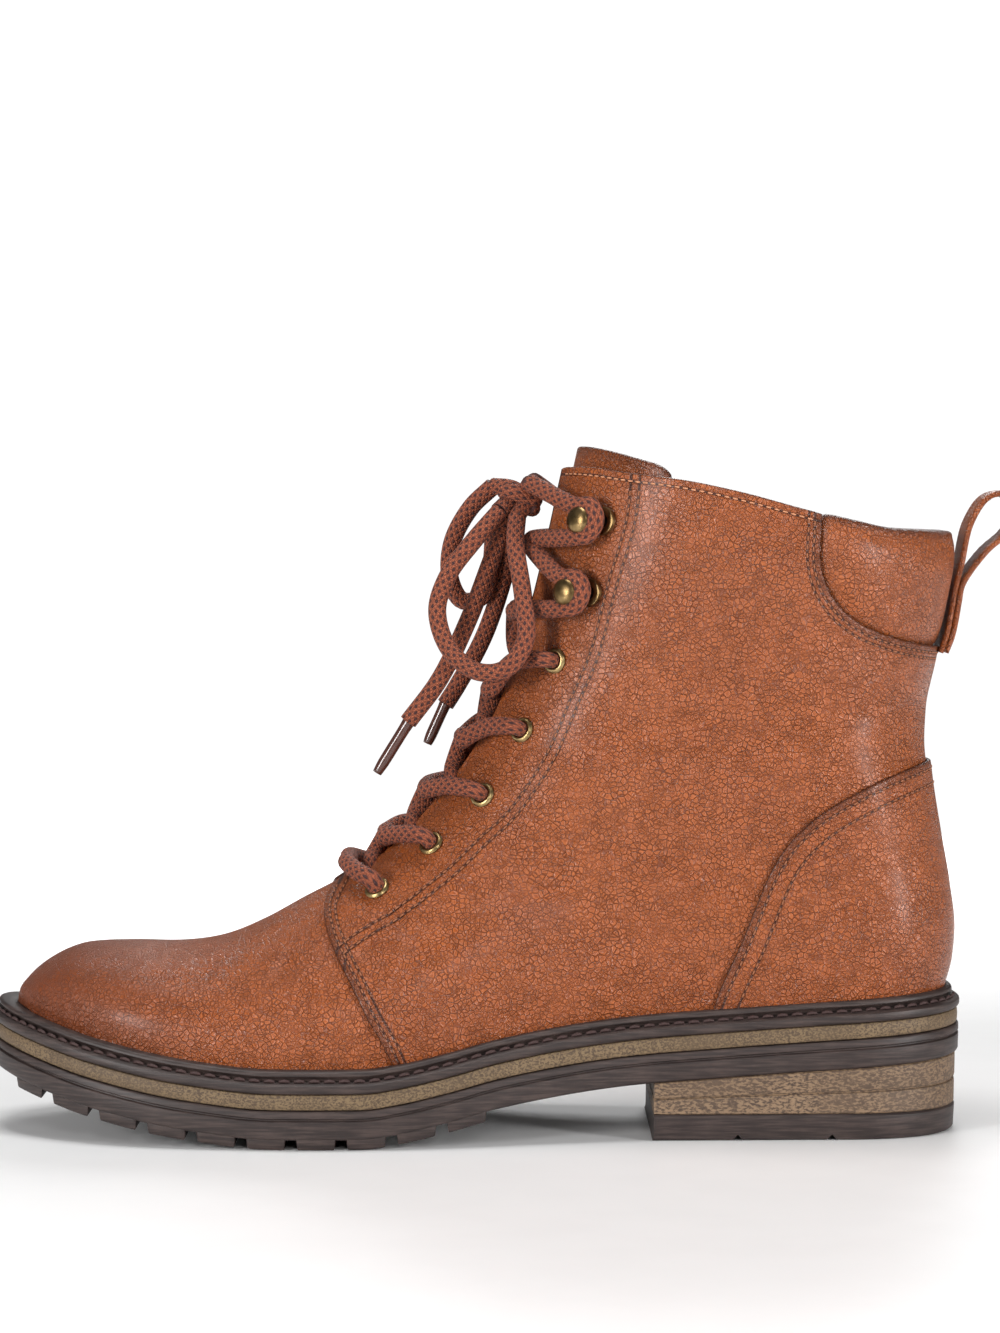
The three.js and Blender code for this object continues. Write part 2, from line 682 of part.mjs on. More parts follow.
// Welt: a lower ridge, the stitch channel and a storm bead against the upper
function welt() {
  const line = (share) => (x) => mix(midsoleTop(x) + GAP, weltTop(x), share);
  const solid = soleLayer([
    { height: line(0), inset: 0.6 },
    { height: line(0.14), inset: 0 },
    { height: line(0.38), inset: 0.1 },
    { height: line(0.48), inset: 1.3 },
    { height: line(0.56), inset: 2.7 },
    { height: line(0.84), inset: 2.4 },
    { height: line(1), inset: 3.4 },
  ]);
  const hollow = soleLayer([
    { height: (x) => midsoleTop(x) - MIDSOLE_THICKNESS, inset: WELT_WIDTH + WELT_SEAT },
    { height: (x) => weltTop(x) + MIDSOLE_THICKNESS, inset: WELT_WIDTH + WELT_SEAT },
  ]);
  return solid.subtract(hollow);
}

// Insole: its edge lies on the welt inside the upper, its middle fills the welt
function insole() {
  const edge = WELT_WIDTH + UPPER_WALL + VAMP_STEP + 2.4;
  const filler = WELT_WIDTH + WELT_SEAT + GAP;
  const board = soleLayer([
    { height: (x) => weltTop(x) + GAP, inset: edge },
    { height: (x) => weltTop(x) + GAP + INSOLE_THICKNESS, inset: edge },
  ]);
  const core = soleLayer([
    { height: (x) => midsoleTop(x) + 3 * GAP, inset: filler },
    { height: (x) => weltTop(x) + 2 * GAP, inset: filler },
  ]);
  return board.add(core);
}

// Heel: breast in front, sides in line with the outsole
const HEEL_FROM = stationAt(1 - HEEL_LENGTH / BOOT_LENGTH);
function heelStack() {
  const bottom = () => TOP_LIFT_HEIGHT + GAP;
  const top = (x) => outsoleBottom(x) - GAP;
  const line = (share) => (x) => mix(bottom(x), top(x), share);
  return soleLayer(
    [
      { height: line(0), inset: 1.7 },
      { height: line(0.44), inset: 1.5 },
      { height: line(0.48), inset: 2 },
      { height: line(0.52), inset: 1.4 },
      { height: line(1), inset: 1.2 },
    ],
    HEEL_FROM,
    1,
  );
}

function topLift() {
  let lift = soleLayer(
    [
      { height: () => 0, inset: 2.4 },
      { height: () => 0.9, inset: 1.6 },
      { height: () => TOP_LIFT_HEIGHT, inset: 1.4 },
    ],
    HEEL_FROM,
    1,
  );
  const half = LIFT_NOTCH / 2;
  [-0.24, 0.06].forEach((share) => {
    const x = share * HEEL_LENGTH;
    const notch = sidePrism([[x - half, -1], [x + half, -1], [x, half]], -HEEL_WIDTH, HEEL_WIDTH);
    lift = lift.subtract(notch);
  });
  return lift;
}

// What the upper stands clear of: the welt's top raised by the gap
function soleSlab() {
  return soleLayer([
    { height: (x) => midsoleTop(x) - MIDSOLE_THICKNESS, inset: 3.4 },
    { height: (x) => weltTop(x) + GAP, inset: 3.4 },
  ]);
}

// Upper: quarters one step proud of the vamp, thicker at the padded collar, open at the
// collar, the throat and underneath
function upper() {
  const quarterOutline = [
    ...sidePoints(QUARTER_EDGE),
    [2 * HEEL_BACK, 0],
    [2 * HEEL_BACK, 1.2 * SHAFT_HEIGHT],
    [alongToX(0.3), 1.2 * SHAFT_HEIGHT],
  ];
  const quarters = formSolid(0).intersect(sidePrism(quarterOutline, -ACROSS, ACROSS));
  const cavity = formSolid(-UPPER_WALL - VAMP_STEP, { below: 8, above: 8 });
  let shell = formSolid(-VAMP_STEP).add(quarters).subtract(cavity);
  const padOutline = sidePoints(PAD_EDGE);
  const padPocket = formSolid(4, { above: 8 }).subtract(formSolid(-PAD_THICKNESS, { above: 9 }));
  const padWall = formSolid(-1)
    .subtract(formSolid(-PAD_THICKNESS - PAD_LINING, { below: 8, above: 8 }))
    .intersect(sidePrism(shrinkOutline(padOutline, -3), -ACROSS, ACROSS));
  shell = shell.add(padWall).subtract(padPocket.intersect(sidePrism(padOutline, -ACROSS, ACROSS)));
  shell = shell.subtract(throatSolid()).subtract(soleSlab());
  SIDES.forEach(({ sign }) => {
    spotsOn(EYELETS, sign).forEach((spot) => {
      const radius = EYELET_BORE / 2 + EYELET_WALL + 2 * GAP;
      const hole = new THREE.CylinderGeometry(radius, radius, 16, 8);
      hole.rotateX(Math.PI / 2);
      shell = shell.subtract(setOnSurface(geometrySolid(hole), spot, 0));
    });
  });
  return shell;
}

// The gap between the facings, following the ridge
const THROAT_FROM = 0.36;
function throatSolid() {
  const rows = RIDGE.filter(({ along }) => along > THROAT_FROM);
  rows.push(RIDGE_EXTENSION);
  const throatStart = rows[0].along;
  const rings = rows.map(({ along, up }, i) => {
    const next = rows[Math.min(i + 1, rows.length - 1)];
    const last = rows[Math.max(i - 1, 0)];
    const ahead = alongToX(next.along) - alongToX(last.along);
    const run = new THREE.Vector2(ahead, upToZ(next.up) - upToZ(last.up)).normalize();
    const wide = mix(0.6, 1, smooth(along, throatStart, throatStart + 0.03)) * (THROAT_GAP / 2);
    const [x, z] = [alongToX(along), upToZ(up)];
    const outer = [x - run.y * 9, z + run.x * 9];
    const inner = [x + run.y * 12, z - run.x * 12];
    return [
      [outer[0], -wide, outer[1]],
      [outer[0], wide, outer[1]],
      [inner[0], wide, inner[1]],
      [inner[0], -wide, inner[1]],
    ];
  });
  return ringSolid(rings, false);
}

function heelCounter() {
  const skin = formSolid(GAP + COUNTER_THICKNESS).subtract(formSolid(GAP, { below: 3, above: 3 }));
  return skin.intersect(sidePrism(sidePoints(COUNTER_EDGE), -ACROSS, ACROSS)).subtract(soleSlab());
}

// Padded collar: a soft panel behind the quarter's cut edge
function collarPad() {
  const outline = shrinkOutline(sidePoints(PAD_EDGE), GAP);
  const pad = formSolid(0.2).subtract(formSolid(GAP - PAD_THICKNESS, { below: 3, above: 3 }));
  return pad.intersect(sidePrism(outline, -ACROSS, ACROSS));
}

// Tongue: lies under the facings and stands up past the collar
function tongue() {
  const under = UPPER_WALL + VAMP_STEP + 2 * GAP;
  const extra = { above: 26 };
  const core = formSolid(-under - TONGUE_THICKNESS, { below: 3, above: extra.above + 1 });
  const sheet = formSolid(-under, extra).subtract(core);
  const front = sidePoints(RIDGE.filter(({ along }) => along > 0.33));
  const depth = 24;
  const top = SHAFT_HEIGHT + TONGUE_RISE;
  const highest = front.at(-1);
  const outline = [
    ...front.map(([x, z]) => [x - 4, z + 4]),
    [highest[0] + 1, top],
    [highest[0] + depth, top - 6],
    ...front.map(([x, z]) => [x + 0.9 * depth, z - 0.35 * depth]).reverse(),
  ];
  const band = sidePrism(outline, -TONGUE_WIDTH / 2, TONGUE_WIDTH / 2);
  return sheet.intersect(band);
}

// A strap seen from the side, as thick as its leather
function strapOutline(path, thickness) {
  const curve = new THREE.CatmullRomCurve3(path.map(([x, z]) => new THREE.Vector3(x, z, 0)));
  const points = curve.getPoints(14);
  const edge = (offset) =>
    points.map((point, i) => {
      const run = curve.getTangent(i / 14);
      return [point.x - run.y * offset, point.y + run.x * offset];
    });
  return [...edge(thickness / 2), ...edge(-thickness / 2).reverse()];
}

// Pull loop: one leg up the back of the collar, opening into a loop behind it
function pullLoop() {
  const seat = GAP + 0.6 + PULL_LOOP_THICKNESS / 2;
  const leg = [0.745, 0.765, 0.79, 0.82].map((up) => [backX(upToZ(up)) + seat, upToZ(up)]);
  const knotX = backX(upToZ(0.85)) + seat + 1.2;
  const knotZ = upToZ(0.855);
  const rise = SHAFT_HEIGHT * 0.105;
  const reach = HEEL_LENGTH * 0.17;
  const near = [
    ...leg,
    [knotX - 0.4, knotZ],
    [knotX + 0.12 * reach, knotZ + 0.6 * rise],
    [knotX + 0.5 * reach, knotZ + rise],
  ];
  const far = [
    [knotX - 0.6, knotZ - 2],
    [knotX + 0.4 * reach, knotZ + 0.22 * rise],
    [knotX + 0.85 * reach, knotZ + 0.5 * rise],
    [knotX + reach, knotZ + 0.8 * rise],
    [knotX + 0.8 * reach, knotZ + 1.02 * rise],
    [knotX + 0.45 * reach, knotZ + 0.99 * rise],
  ];
  const half = PULL_LOOP_WIDTH / 2;
  const legs = [near, far].map((path) => sidePrism(strapOutline(path, PULL_LOOP_THICKNESS), -half, half));
  return legs[0].add(legs[1]);
}

// Eyelet: a rolled ring outside and a barrel through the wall
function eyelet() {
  const bore = EYELET_BORE / 2;
  const barrel = bore + EYELET_WALL;
  const rim = EYELET_DIAMETER / 2;
  const profile = [
    [bore, -UPPER_WALL - VAMP_STEP],
    [barrel, -UPPER_WALL - VAMP_STEP],
    [barrel, 0],
    [rim, 0],
    [rim - 0.5, EYELET_RIM],
    [bore + 0.2, EYELET_RIM],
    [bore, -UPPER_WALL - VAMP_STEP],
  ];
  const ring = new THREE.LatheGeometry(profile.map(([r, y]) => new THREE.Vector2(r, y)), 8);
  ring.rotateX(Math.PI / 2);
  return geometrySolid(ring);
}

// Lace hook: a plate with a hollow rivet behind, and a domed head on a neck in front
function laceHook() {
  const plate = 0.9;
  const head = HOOK_HEAD / 2;
  const profile = [
    [0, 0],
    [head - 0.2, 0],
    [head - 0.2, plate],
    [HOOK_NECK / 2, plate],
    [HOOK_NECK / 2, HOOK_HEIGHT - 2.4],
    [head, HOOK_HEIGHT - 2],
    [head * 0.9, HOOK_HEIGHT - 1],
    [head * 0.5, HOOK_HEIGHT - 0.2],
    [0, HOOK_HEIGHT],
  ];
  const stud = new THREE.LatheGeometry(profile.map(([r, y]) => new THREE.Vector2(r, y)), 8);
  stud.rotateX(Math.PI / 2);
  const bar = boxSolid(HOOK_REACH / 2, 0, plate / 2, HOOK_REACH, HOOK_HEAD * 0.6, plate);
  const rivet = new THREE.CylinderGeometry(head, head + 0.2, 1.1, 8);
  rivet.rotateX(Math.PI / 2);
  rivet.translate(HOOK_REACH, 0, 0.55);
  const hole = new THREE.CylinderGeometry(head * 0.55, head * 0.55, 6, 8);
  hole.rotateX(Math.PI / 2);
  hole.translate(HOOK_REACH, 0, 0);
  return geometrySolid(stud).add(bar).add(geometrySolid(rivet)).subtract(geometrySolid(hole));
}

addPiece('outsole', outsole(), rubber);
addPiece('midsole', midsole(), stacked);
addPiece('welt', welt(), rubber);
addPiece('heel_stack', heelStack(), stacked);
addPiece('top_lift', topLift(), rubber);
addPiece('insole', insole(), lining);
addPiece('upper', upper(), leather);
addPiece('heel_counter', heelCounter(), leather);
addPiece('collar_pad', collarPad(), darkLeather);
addPiece('tongue', tongue(), darkLeather);
addPiece('pull_loop', pullLoop(), darkLeather);

SIDES.forEach(({ name, sign }) => {
  spotsOn(EYELETS, sign).forEach((spot, i) => {
    addPiece(`eyelet_${name}_${i + 1}`, setOnSurface(eyelet(), spot, METAL_GAP), brass);
  });
  spotsOn(HOOKS, sign).forEach((spot, i) => {
    addPiece(`lace_hook_${name}_${i + 1}`, setOnSurface(laceHook(), spot, METAL_GAP), brass);
  });
});

// Lacing: strands lie on the tongue between the facings, cross on the ridge and run out over
// the facings to the eyelets, which they enter from outside
const LACE_ROWS = [0.395, 0.437, 0.51, 0.586, 0.663];
const LACE_LOW = -0.7;
const LACE_HIGH = 1.8;
const HOOK_LACE_ROWS = { under: 0.735, first: 0.775, second: 0.88 };
const LACE_EDGE = 1.7;
const LACE_STEPS = 7;
const LACE_SIDES = 8;

// A point over the ridge: how far up it lies, sideways, and its height over the ridge
function overRidge(up, y, height) {
  const z = upToZ(up);
  const run = new THREE.Vector2(ridgeX(z + 2) - ridgeX(z - 2), 4).normalize();
  return [ridgeX(z) - run.y * height, y, z + run.x * height];
}
const raised = (spot, height) => spot.point.clone().addScaledVector(spot.out, height).toArray();

// Half of a crossing: from the eyelet over the facing and the ridge to the far edge of the gap
function laceStrand(row, sign, height) {
  const spot = spotsOn(EYELETS, sign)[row];
  const start = METAL_GAP + EYELET_RIM + GAP;
  const ridge = overRidge(LACE_ROWS[row], 0, height);
  const facing = surfaceAt(mix(spot.point.x, ridge[0], 0.45), mix(spot.point.z, ridge[2], 0.2), sign);
  const edge = overRidge(LACE_ROWS[row], sign * 0.55 * THROAT_GAP, LACE_EDGE + (row === 0 ? 0.6 : 0));
  const overFacing = raised(facing, LACE_RADIUS + 1.9);
  const points = [raised(spot, start), raised(spot, start + 2.2), overFacing, edge, ridge];
  if (row > 0) {
    const under = mix(LACE_ROWS[row], LACE_ROWS[row - 1], 0.5);
    points.push(overRidge(under, -sign * 0.52 * THROAT_GAP / 2, LACE_LOW));
  }
  return points;
}

function laceBar() {
  const near = laceStrand(0, LATERAL, LACE_HIGH);
  const far = laceStrand(0, MEDIAL, LACE_HIGH);
  return tubeSolid([...near, ...far.slice(0, -1).reverse()], LACE_DIAMETER, 2 * LACE_STEPS, LACE_SIDES);
}

function laceCrossing(row) {
  const heights = row % 2 === 0 ? [LACE_HIGH, LACE_LOW] : [LACE_LOW, LACE_HIGH];
  const strands = SIDES.map(({ sign }, i) =>
    tubeSolid(laceStrand(row, sign, heights[i]), LACE_DIAMETER, LACE_STEPS, LACE_SIDES),
  );
  return strands[0].add(strands[1]);
}

// Round the neck of a hook, behind it: below, behind and above
function roundHook(hook, sign) {
  const spot = spotsOn(HOOKS, sign)[hook];
  const height = METAL_GAP + 0.9 + GAP + LACE_RADIUS + 0.25;
  const reach = HOOK_NECK / 2 + GAP + LACE_RADIUS + 0.5;
  const back = new THREE.Vector3(1, 0, 0).addScaledVector(spot.out, -spot.out.x).normalize();
  const rise = new THREE.Vector3(0, 0, 1).addScaledVector(spot.out, -spot.out.z).normalize();
  return [
    [-0.55, -0.95],
    [0.55, -0.85],
    [1.02, 0],
    [0.55, 0.85],
    [-0.55, 0.95],
  ].map(([along, upwards]) =>
    spot.point
      .clone()
      .addScaledVector(spot.out, height)
      .addScaledVector(back, along * reach)
      .addScaledVector(rise, upwards * reach)
      .toArray(),
  );
}

// Both strands from under the facings over the two pairs of hooks to the knot
const KNOT_ENTRIES = { lateral: [-80, -14.2, 185.8], medial: [-78.9, -1.4, 186.4] };
function laceOverHooks() {
  const strands = SIDES.map(({ name, sign }) => {
    const high = sign === LATERAL;
    const points = [
      overRidge(HOOK_LACE_ROWS.under, -sign * 0.52 * THROAT_GAP / 2, LACE_LOW),
      overRidge(HOOK_LACE_ROWS.first, 0, high ? LACE_HIGH : LACE_LOW),
      overRidge(HOOK_LACE_ROWS.first + 0.01, sign * 0.6 * THROAT_GAP, LACE_EDGE),
      ...roundHook(0, sign),
      overRidge(HOOK_LACE_ROWS.second, sign * 0.6 * THROAT_GAP, LACE_EDGE + 0.6),
      overRidge(HOOK_LACE_ROWS.second, 0, high ? LACE_LOW + 0.4 : LACE_HIGH + 0.4),
      overRidge(HOOK_LACE_ROWS.second + 0.01, -sign * 0.6 * THROAT_GAP, LACE_EDGE + 0.6),
      ...roundHook(1, -sign),
      KNOT_ENTRIES[high ? 'medial' : 'lateral'],
    ];
    return tubeSolid(points, LACE_DIAMETER, 27, LACE_SIDES);
  });
  return strands[0].add(strands[1]);
}

// The bow: its points are chosen by hand, in millimetres
const KNOT_CENTRE = [-83, -7.5, 181.5];
const KNOT_RADII = [6.7, 7, 6.6];
const NEAR_LOOP = [
  [-83.7, -12, 176.2], [-84.2, -17.5, 168.5], [-82, -25, 153], [-81.6, -29, 141], [-86.6, -28.5, 133.6],
  [-94.8, -25, 132.4], [-103, -20, 138.5], [-106.5, -17, 149.5], [-103.4, -15.5, 159.5],
  [-96.4, -14, 169], [-88.5, -11.4, 178],
];
const FAR_LOOP = [
  [-90.6, -5.2, 185], [-97.2, -2.4, 178.6], [-102.5, 0.6, 168.5], [-103, 4, 158], [-99.5, 6, 151.8],
  [-93.8, 6, 153], [-91.2, 3.6, 162], [-90.4, 0.6, 171], [-89.2, -1.7, 177.8],
];
const NEAR_END = [
  [-86.5, -7.9, 175.6], [-91, -8.4, 164], [-97.5, -9, 147], [-106, -9, 129.5], [-115, -8, 117.3],
];
const FAR_END = [
  [-83.8, -2.8, 176.4], [-86.2, 5.6, 163], [-93, 10, 142], [-101, 9, 127], [-104.5, 8, 121.5],
];
const NEAR_TIP = [[-115.2, -8, 117], [-124, -7.5, 102.5]];
const FAR_TIP = [[-104.7, 8, 121.2], [-109.8, 8, 110]];

function laceKnot() {
  const ball = new THREE.SphereGeometry(1, 10, 7);
  ball.scale(...KNOT_RADII);
  ball.translate(...KNOT_CENTRE);
  return geometrySolid(ball);
}

addPiece('lace_bar', laceBar(), laceCloth);
[1, 2, 3, 4].forEach((row) => addPiece(`lace_crossing_${row}`, laceCrossing(row), laceCloth));
addPiece('lace_over_hooks', laceOverHooks(), laceCloth);
addPiece('lace_knot', laceKnot(), laceCloth);
addPiece('lace_loop_near', tubeSolid(NEAR_LOOP, LACE_DIAMETER, 17, LACE_SIDES), laceCloth);
addPiece('lace_loop_far', tubeSolid(FAR_LOOP, LACE_DIAMETER, 12, LACE_SIDES), laceCloth);
addPiece('lace_end_near', tubeSolid(NEAR_END, LACE_DIAMETER, 5, LACE_SIDES), laceCloth);
addPiece('lace_end_far', tubeSolid(FAR_END, LACE_DIAMETER, 5, LACE_SIDES), laceCloth);
addPiece('lace_tip_near', tubeSolid(NEAR_TIP, AGLET_DIAMETER, 1, LACE_SIDES), tipPlastic);
addPiece('lace_tip_far', tubeSolid(FAR_TIP, AGLET_DIAMETER, 1, LACE_SIDES), tipPlastic);

export default boot;
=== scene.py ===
"""Lace-up ankle boot: the looks of its leather, sole, metal and lacing, built round the CAD frame."""

import math

import bpy
import numpy as np
from mathutils import Matrix, Vector


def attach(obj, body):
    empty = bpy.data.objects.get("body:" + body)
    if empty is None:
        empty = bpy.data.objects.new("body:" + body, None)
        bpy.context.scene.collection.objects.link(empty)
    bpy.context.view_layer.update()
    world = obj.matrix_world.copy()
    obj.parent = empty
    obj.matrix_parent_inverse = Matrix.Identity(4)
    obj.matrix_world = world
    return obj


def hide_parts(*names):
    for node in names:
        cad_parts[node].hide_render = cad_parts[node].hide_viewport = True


bl_info = {
    "name": "Lace-up Ankle Boot",
    "version": (1, 0, 0),
    "blender": (4, 5, 0),
    "location": "3D View > Sidebar > Boot",
    "description": "Builds a lace-up ankle boot piece by piece round its CAD frame",
    "category": "Object",
}

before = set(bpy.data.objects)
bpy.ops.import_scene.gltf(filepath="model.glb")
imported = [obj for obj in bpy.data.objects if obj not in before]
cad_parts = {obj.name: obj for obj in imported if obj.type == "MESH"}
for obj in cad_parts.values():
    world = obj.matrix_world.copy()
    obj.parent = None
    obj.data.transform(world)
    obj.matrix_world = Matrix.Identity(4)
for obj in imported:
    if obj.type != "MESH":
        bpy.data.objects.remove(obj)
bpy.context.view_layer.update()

MM = 0.001

# Sizes of the last and the sole, in millimetres, as the frame has them
BOOT_LENGTH = 281
BALL_WIDTH = 101
HEEL_WIDTH = 65
HEEL_LENGTH = 89
TOE_SPRING = 16
HEEL_RISE = 19.5
TOP_LIFT_HEIGHT = 7.4
OUTSOLE_THICKNESS = 8.2
LUG_DEPTH = 2.9
LUG_PITCH = 14
LUG_SLOT = 3
LUG_CHANNEL = 6
LIFT_NOTCH = 3.4
MIDSOLE_THICKNESS = 4.6
WELT_THICKNESS = 6.3
WELT_WIDTH = 5.5
TOE_ROUND = 66
HEEL_ROUND = 36
TOE_SWING = 3.5
SHAFT_HEIGHT = 190
COLLAR_WIDTH = 86
ANKLE_WIDTH = 67
VAMP_STEP = 1.2
LOW_BULGE = 2
THROAT_GAP = 19
TONGUE_WIDTH = 50
TONGUE_RISE = 7
PULL_LOOP_WIDTH = 17
EYELET_DIAMETER = 7.4
EYELET_BORE = 4.4
HOOK_HEAD = 7.8
HOOK_HEIGHT = 8.4
HOOK_NECK = 2.4
HOOK_REACH = 4
METAL_LIFT = 0.9
GAP = 0.3

HEEL_BACK = HEEL_LENGTH / 2
TOE_TIP = HEEL_BACK - BOOT_LENGTH
SOLE_STACK = WELT_THICKNESS + MIDSOLE_THICKNESS + OUTSOLE_THICKNESS + LUG_DEPTH
TOE_POWER = 2.05
HEEL_POWER = 2.35
LATERAL, MEDIAL = -1, 1
SIDES = (("lateral", LATERAL), ("medial", MEDIAL))


def to_x(along):
    """Place along the boot for a share of its length."""
    return TOE_TIP + np.asarray(along) * BOOT_LENGTH


def to_z(up):
    """Height for a share of the shaft's height."""
    return np.asarray(up) * SHAFT_HEIGHT


def mix(a, b, t):
    return a + (b - a) * t


def smooth(value, low, high):
    t = np.clip((value - low) / (high - low), 0, 1)
    return t * t * (3 - 2 * t)


def rounded(share, power):
    """A rounded end: 0 at its tip, 1 at and beyond its full depth."""
    return (1 - (1 - np.clip(share, 0, 1)) ** power) ** (1 / power)


def table(columns, rows):
    """Named columns of shares."""
    return dict(zip(columns.split(), np.array(rows, float).T))


def row_curve(rows, source, target):
    """A smooth curve through a table's rows, with no overshoot between them."""
    xs, ys = rows[source], rows[target]
    slopes = np.diff(ys) / np.diff(xs)
    before, after = slopes[:-1], slopes[1:]
    total = np.where(before * after > 0, before + after, 1)
    inner = np.where(before * after > 0, 2 * before * after / total, 0)
    tangents = np.concatenate([slopes[:1], inner, slopes[-1:]])

    def read(x):
        x = np.asarray(x, float)
        i = np.clip(np.searchsorted(xs, x, side="right") - 1, 0, len(xs) - 2)
        step = xs[i + 1] - xs[i]
        t = np.clip((x - xs[i]) / step, 0, 1)
        rise = (3 - 2 * t) * t * t
        leave = t * (1 - t) ** 2 * step * tangents[i]
        arrive = t * t * (t - 1) * step * tangents[i + 1]
        low = np.minimum(x - xs[0], 0) * tangents[0]
        high = np.maximum(x - xs[-1], 0) * tangents[-1]
        return ys[i] * (1 - rise) + ys[i + 1] * rise + leave + arrive + low + high

    return read


def smooth_path(points, per_span=16):
    """A dense line through points, rounded by the distances between them."""
    points = np.asarray(points, float)
    ends = np.vstack([2 * points[0] - points[1], points, 2 * points[-1] - points[-2]])
    steps = np.maximum(np.linalg.norm(np.diff(ends, axis=0), axis=1), 1e-6) ** 0.5
    line = []
    for i in range(len(points) - 1):
        p0, p1, p2, p3 = ends[i : i + 4]
        d0, d1, d2 = steps[i : i + 3]
        leave = ((p1 - p0) / d0 - (p2 - p0) / (d0 + d1) + (p2 - p1) / d1) * d1
        arrive = ((p2 - p1) / d1 - (p3 - p1) / (d1 + d2) + (p3 - p2) / d2) * d1
        t = (np.arange(per_span) / per_span)[:, None]
        line.append(
            (2 * t**3 - 3 * t**2 + 1) * p1
            + (t**3 - 2 * t**2 + t) * leave
            + (3 * t**2 - 2 * t**3) * p2
            + (t**3 - t**2) * arrive
        )
    return np.vstack([*line, points[-1:]])


def unit(vectors):
    """Directions of length one."""
    return vectors / np.maximum(np.linalg.norm(vectors, axis=-1, keepdims=True), 1e-9)


def running_length(points):
    """How far along a line each of its points lies."""
    return np.concatenate([[0], np.cumsum(np.linalg.norm(np.diff(points, axis=0), axis=1))])


def even_path(points, count):
    """Points spaced evenly along a line."""
    run = running_length(points)
    places = np.linspace(0, run[-1], count)
    return np.column_stack([np.interp(places, run, axis) for axis in points.T])


def path_length(points):
    return float(np.linalg.norm(np.diff(points, axis=0), axis=1).sum())


def ring_quads(rings, size):
    """Faces between neighbouring rings of points, listed ring by ring."""
    return [
        (i * size + j, i * size + (j + 1) % size, (i + 1) * size + (j + 1) % size, (i + 1) * size + j)
        for i in range(rings - 1)
        for j in range(size)
    ]


# Sole plan: half widths at shares of the length, as shares of half the ball and half the heel
SOLE_OUTLINE = table(
    "along lateral_ball lateral_heel medial_ball medial_heel",
    [
        (0, 0.9, 0, 0.88, 0), (0.2, 0.97, 0, 0.92, 0), (0.33, 1.03, 0, 0.97, 0),
        (0.46, 0.6, 0.53, 0.55, 0.45), (0.58, 0.2, 0.9, 0.16, 0.81), (0.7, 0, 1.05, 0, 0.97),
        (0.85, 0, 1.01, 0, 0.99), (1, 0, 1, 0, 1),
    ],
)
SWING = table("along share", [(0, 1), (0.3, 0.45), (0.55, 0), (1, 0)])
SOLE_LINE = table(
    "along toe heel",
    [
        (0, 1, 0), (0.064, 0.69, 0), (0.114, 0.46, 0), (0.217, 0.13, 0), (0.3, 0, 0), (0.39, 0, 0),
        (0.423, 0, 0.06), (0.473, 0, 0.21), (0.527, 0, 0.4), (0.63, 0, 0.63), (0.733, 0, 0.755),
        (0.886, 0, 0.9), (1, 0, 1),
    ],
)
half_ball = {sign: row_curve(SOLE_OUTLINE, "along", f"{side}_ball") for side, sign in SIDES}
half_heel = {sign: row_curve(SOLE_OUTLINE, "along", f"{side}_heel") for side, sign in SIDES}
swing_share = row_curve(SWING, "along", "share")
toe_rise = row_curve(SOLE_LINE, "along", "toe")
heel_rise = row_curve(SOLE_LINE, "along", "heel")


def to_along(x):
    return np.clip((np.asarray(x) - TOE_TIP) / BOOT_LENGTH, 0, 1)


def plain_half_width(x, sign):
    along = to_along(x)
    return (half_ball[sign](along) * BALL_WIDTH + half_heel[sign](along) * HEEL_WIDTH) / 2


def centre_y(x):
    return TOE_SWING * swing_share(to_along(x))


def edge_point(share, sign, inset):
    """A point of the sole's plan edge, moved inwards by an inset."""
    tip, back = TOE_TIP + inset, HEEL_BACK - inset
    x = mix(tip, back, (1 - np.cos(np.pi * share)) / 2)
    toe = rounded((x - tip) / (TOE_ROUND - inset / 2), TOE_POWER)
    heel = rounded((back - x) / (HEEL_ROUND - inset / 2), HEEL_POWER)
    return x, centre_y(x) + sign * (plain_half_width(x, sign) - inset) * toe * heel


def welt_top(x):
    along = to_along(x)
    return SOLE_STACK + TOE_SPRING * toe_rise(along) + HEEL_RISE * heel_rise(along)


def midsole_top(x):
    return welt_top(x) - WELT_THICKNESS


def outsole_top(x):
    return midsole_top(x) - MIDSOLE_THICKNESS


def outsole_bottom(x):
    return outsole_top(x) - OUTSOLE_THICKNESS


def lug_bottom(x):
    return np.maximum(0, outsole_bottom(x) - LUG_DEPTH)


# The upper's side outline
RIDGE = table(
    "along up",
    [
        (0.0235, 0.1885), (0.0265, 0.212), (0.0335, 0.2255), (0.0435, 0.241), (0.055, 0.254),
        (0.0735, 0.2695), (0.094, 0.28), (0.115, 0.2835), (0.15, 0.2845), (0.198, 0.284),
        (0.24, 0.2935), (0.281, 0.3185), (0.322, 0.352), (0.3635, 0.385), (0.413, 0.437),
        (0.458, 0.513), (0.492, 0.582), (0.515, 0.64), (0.533, 0.705), (0.5525, 0.8),
        (0.569, 0.897), (0.5845, 1.0),
    ],
)
RIDGE_EXTENSION = (0.6, 1.1)
BACK = table(
    "up back",
    [
        (0.2, 0.86), (0.225, 0.885), (0.262, 0.922), (0.305, 0.936), (0.372, 0.904), (0.442, 0.852),
        (0.535, 0.79), (0.59, 0.768), (0.64, 0.78), (0.72, 0.85), (0.8, 0.905), (0.868, 0.96),
        (0.905, 0.985),
    ],
)
COLLAR = table(
    "along up",
    [
        (0.5845, 1.0), (0.605, 1.0), (0.658, 0.989), (0.708, 0.979), (0.765, 0.961), (0.838, 0.932),
        (0.886, 0.916), (0.925, 0.905), (1.0, 0.9),
    ],
)
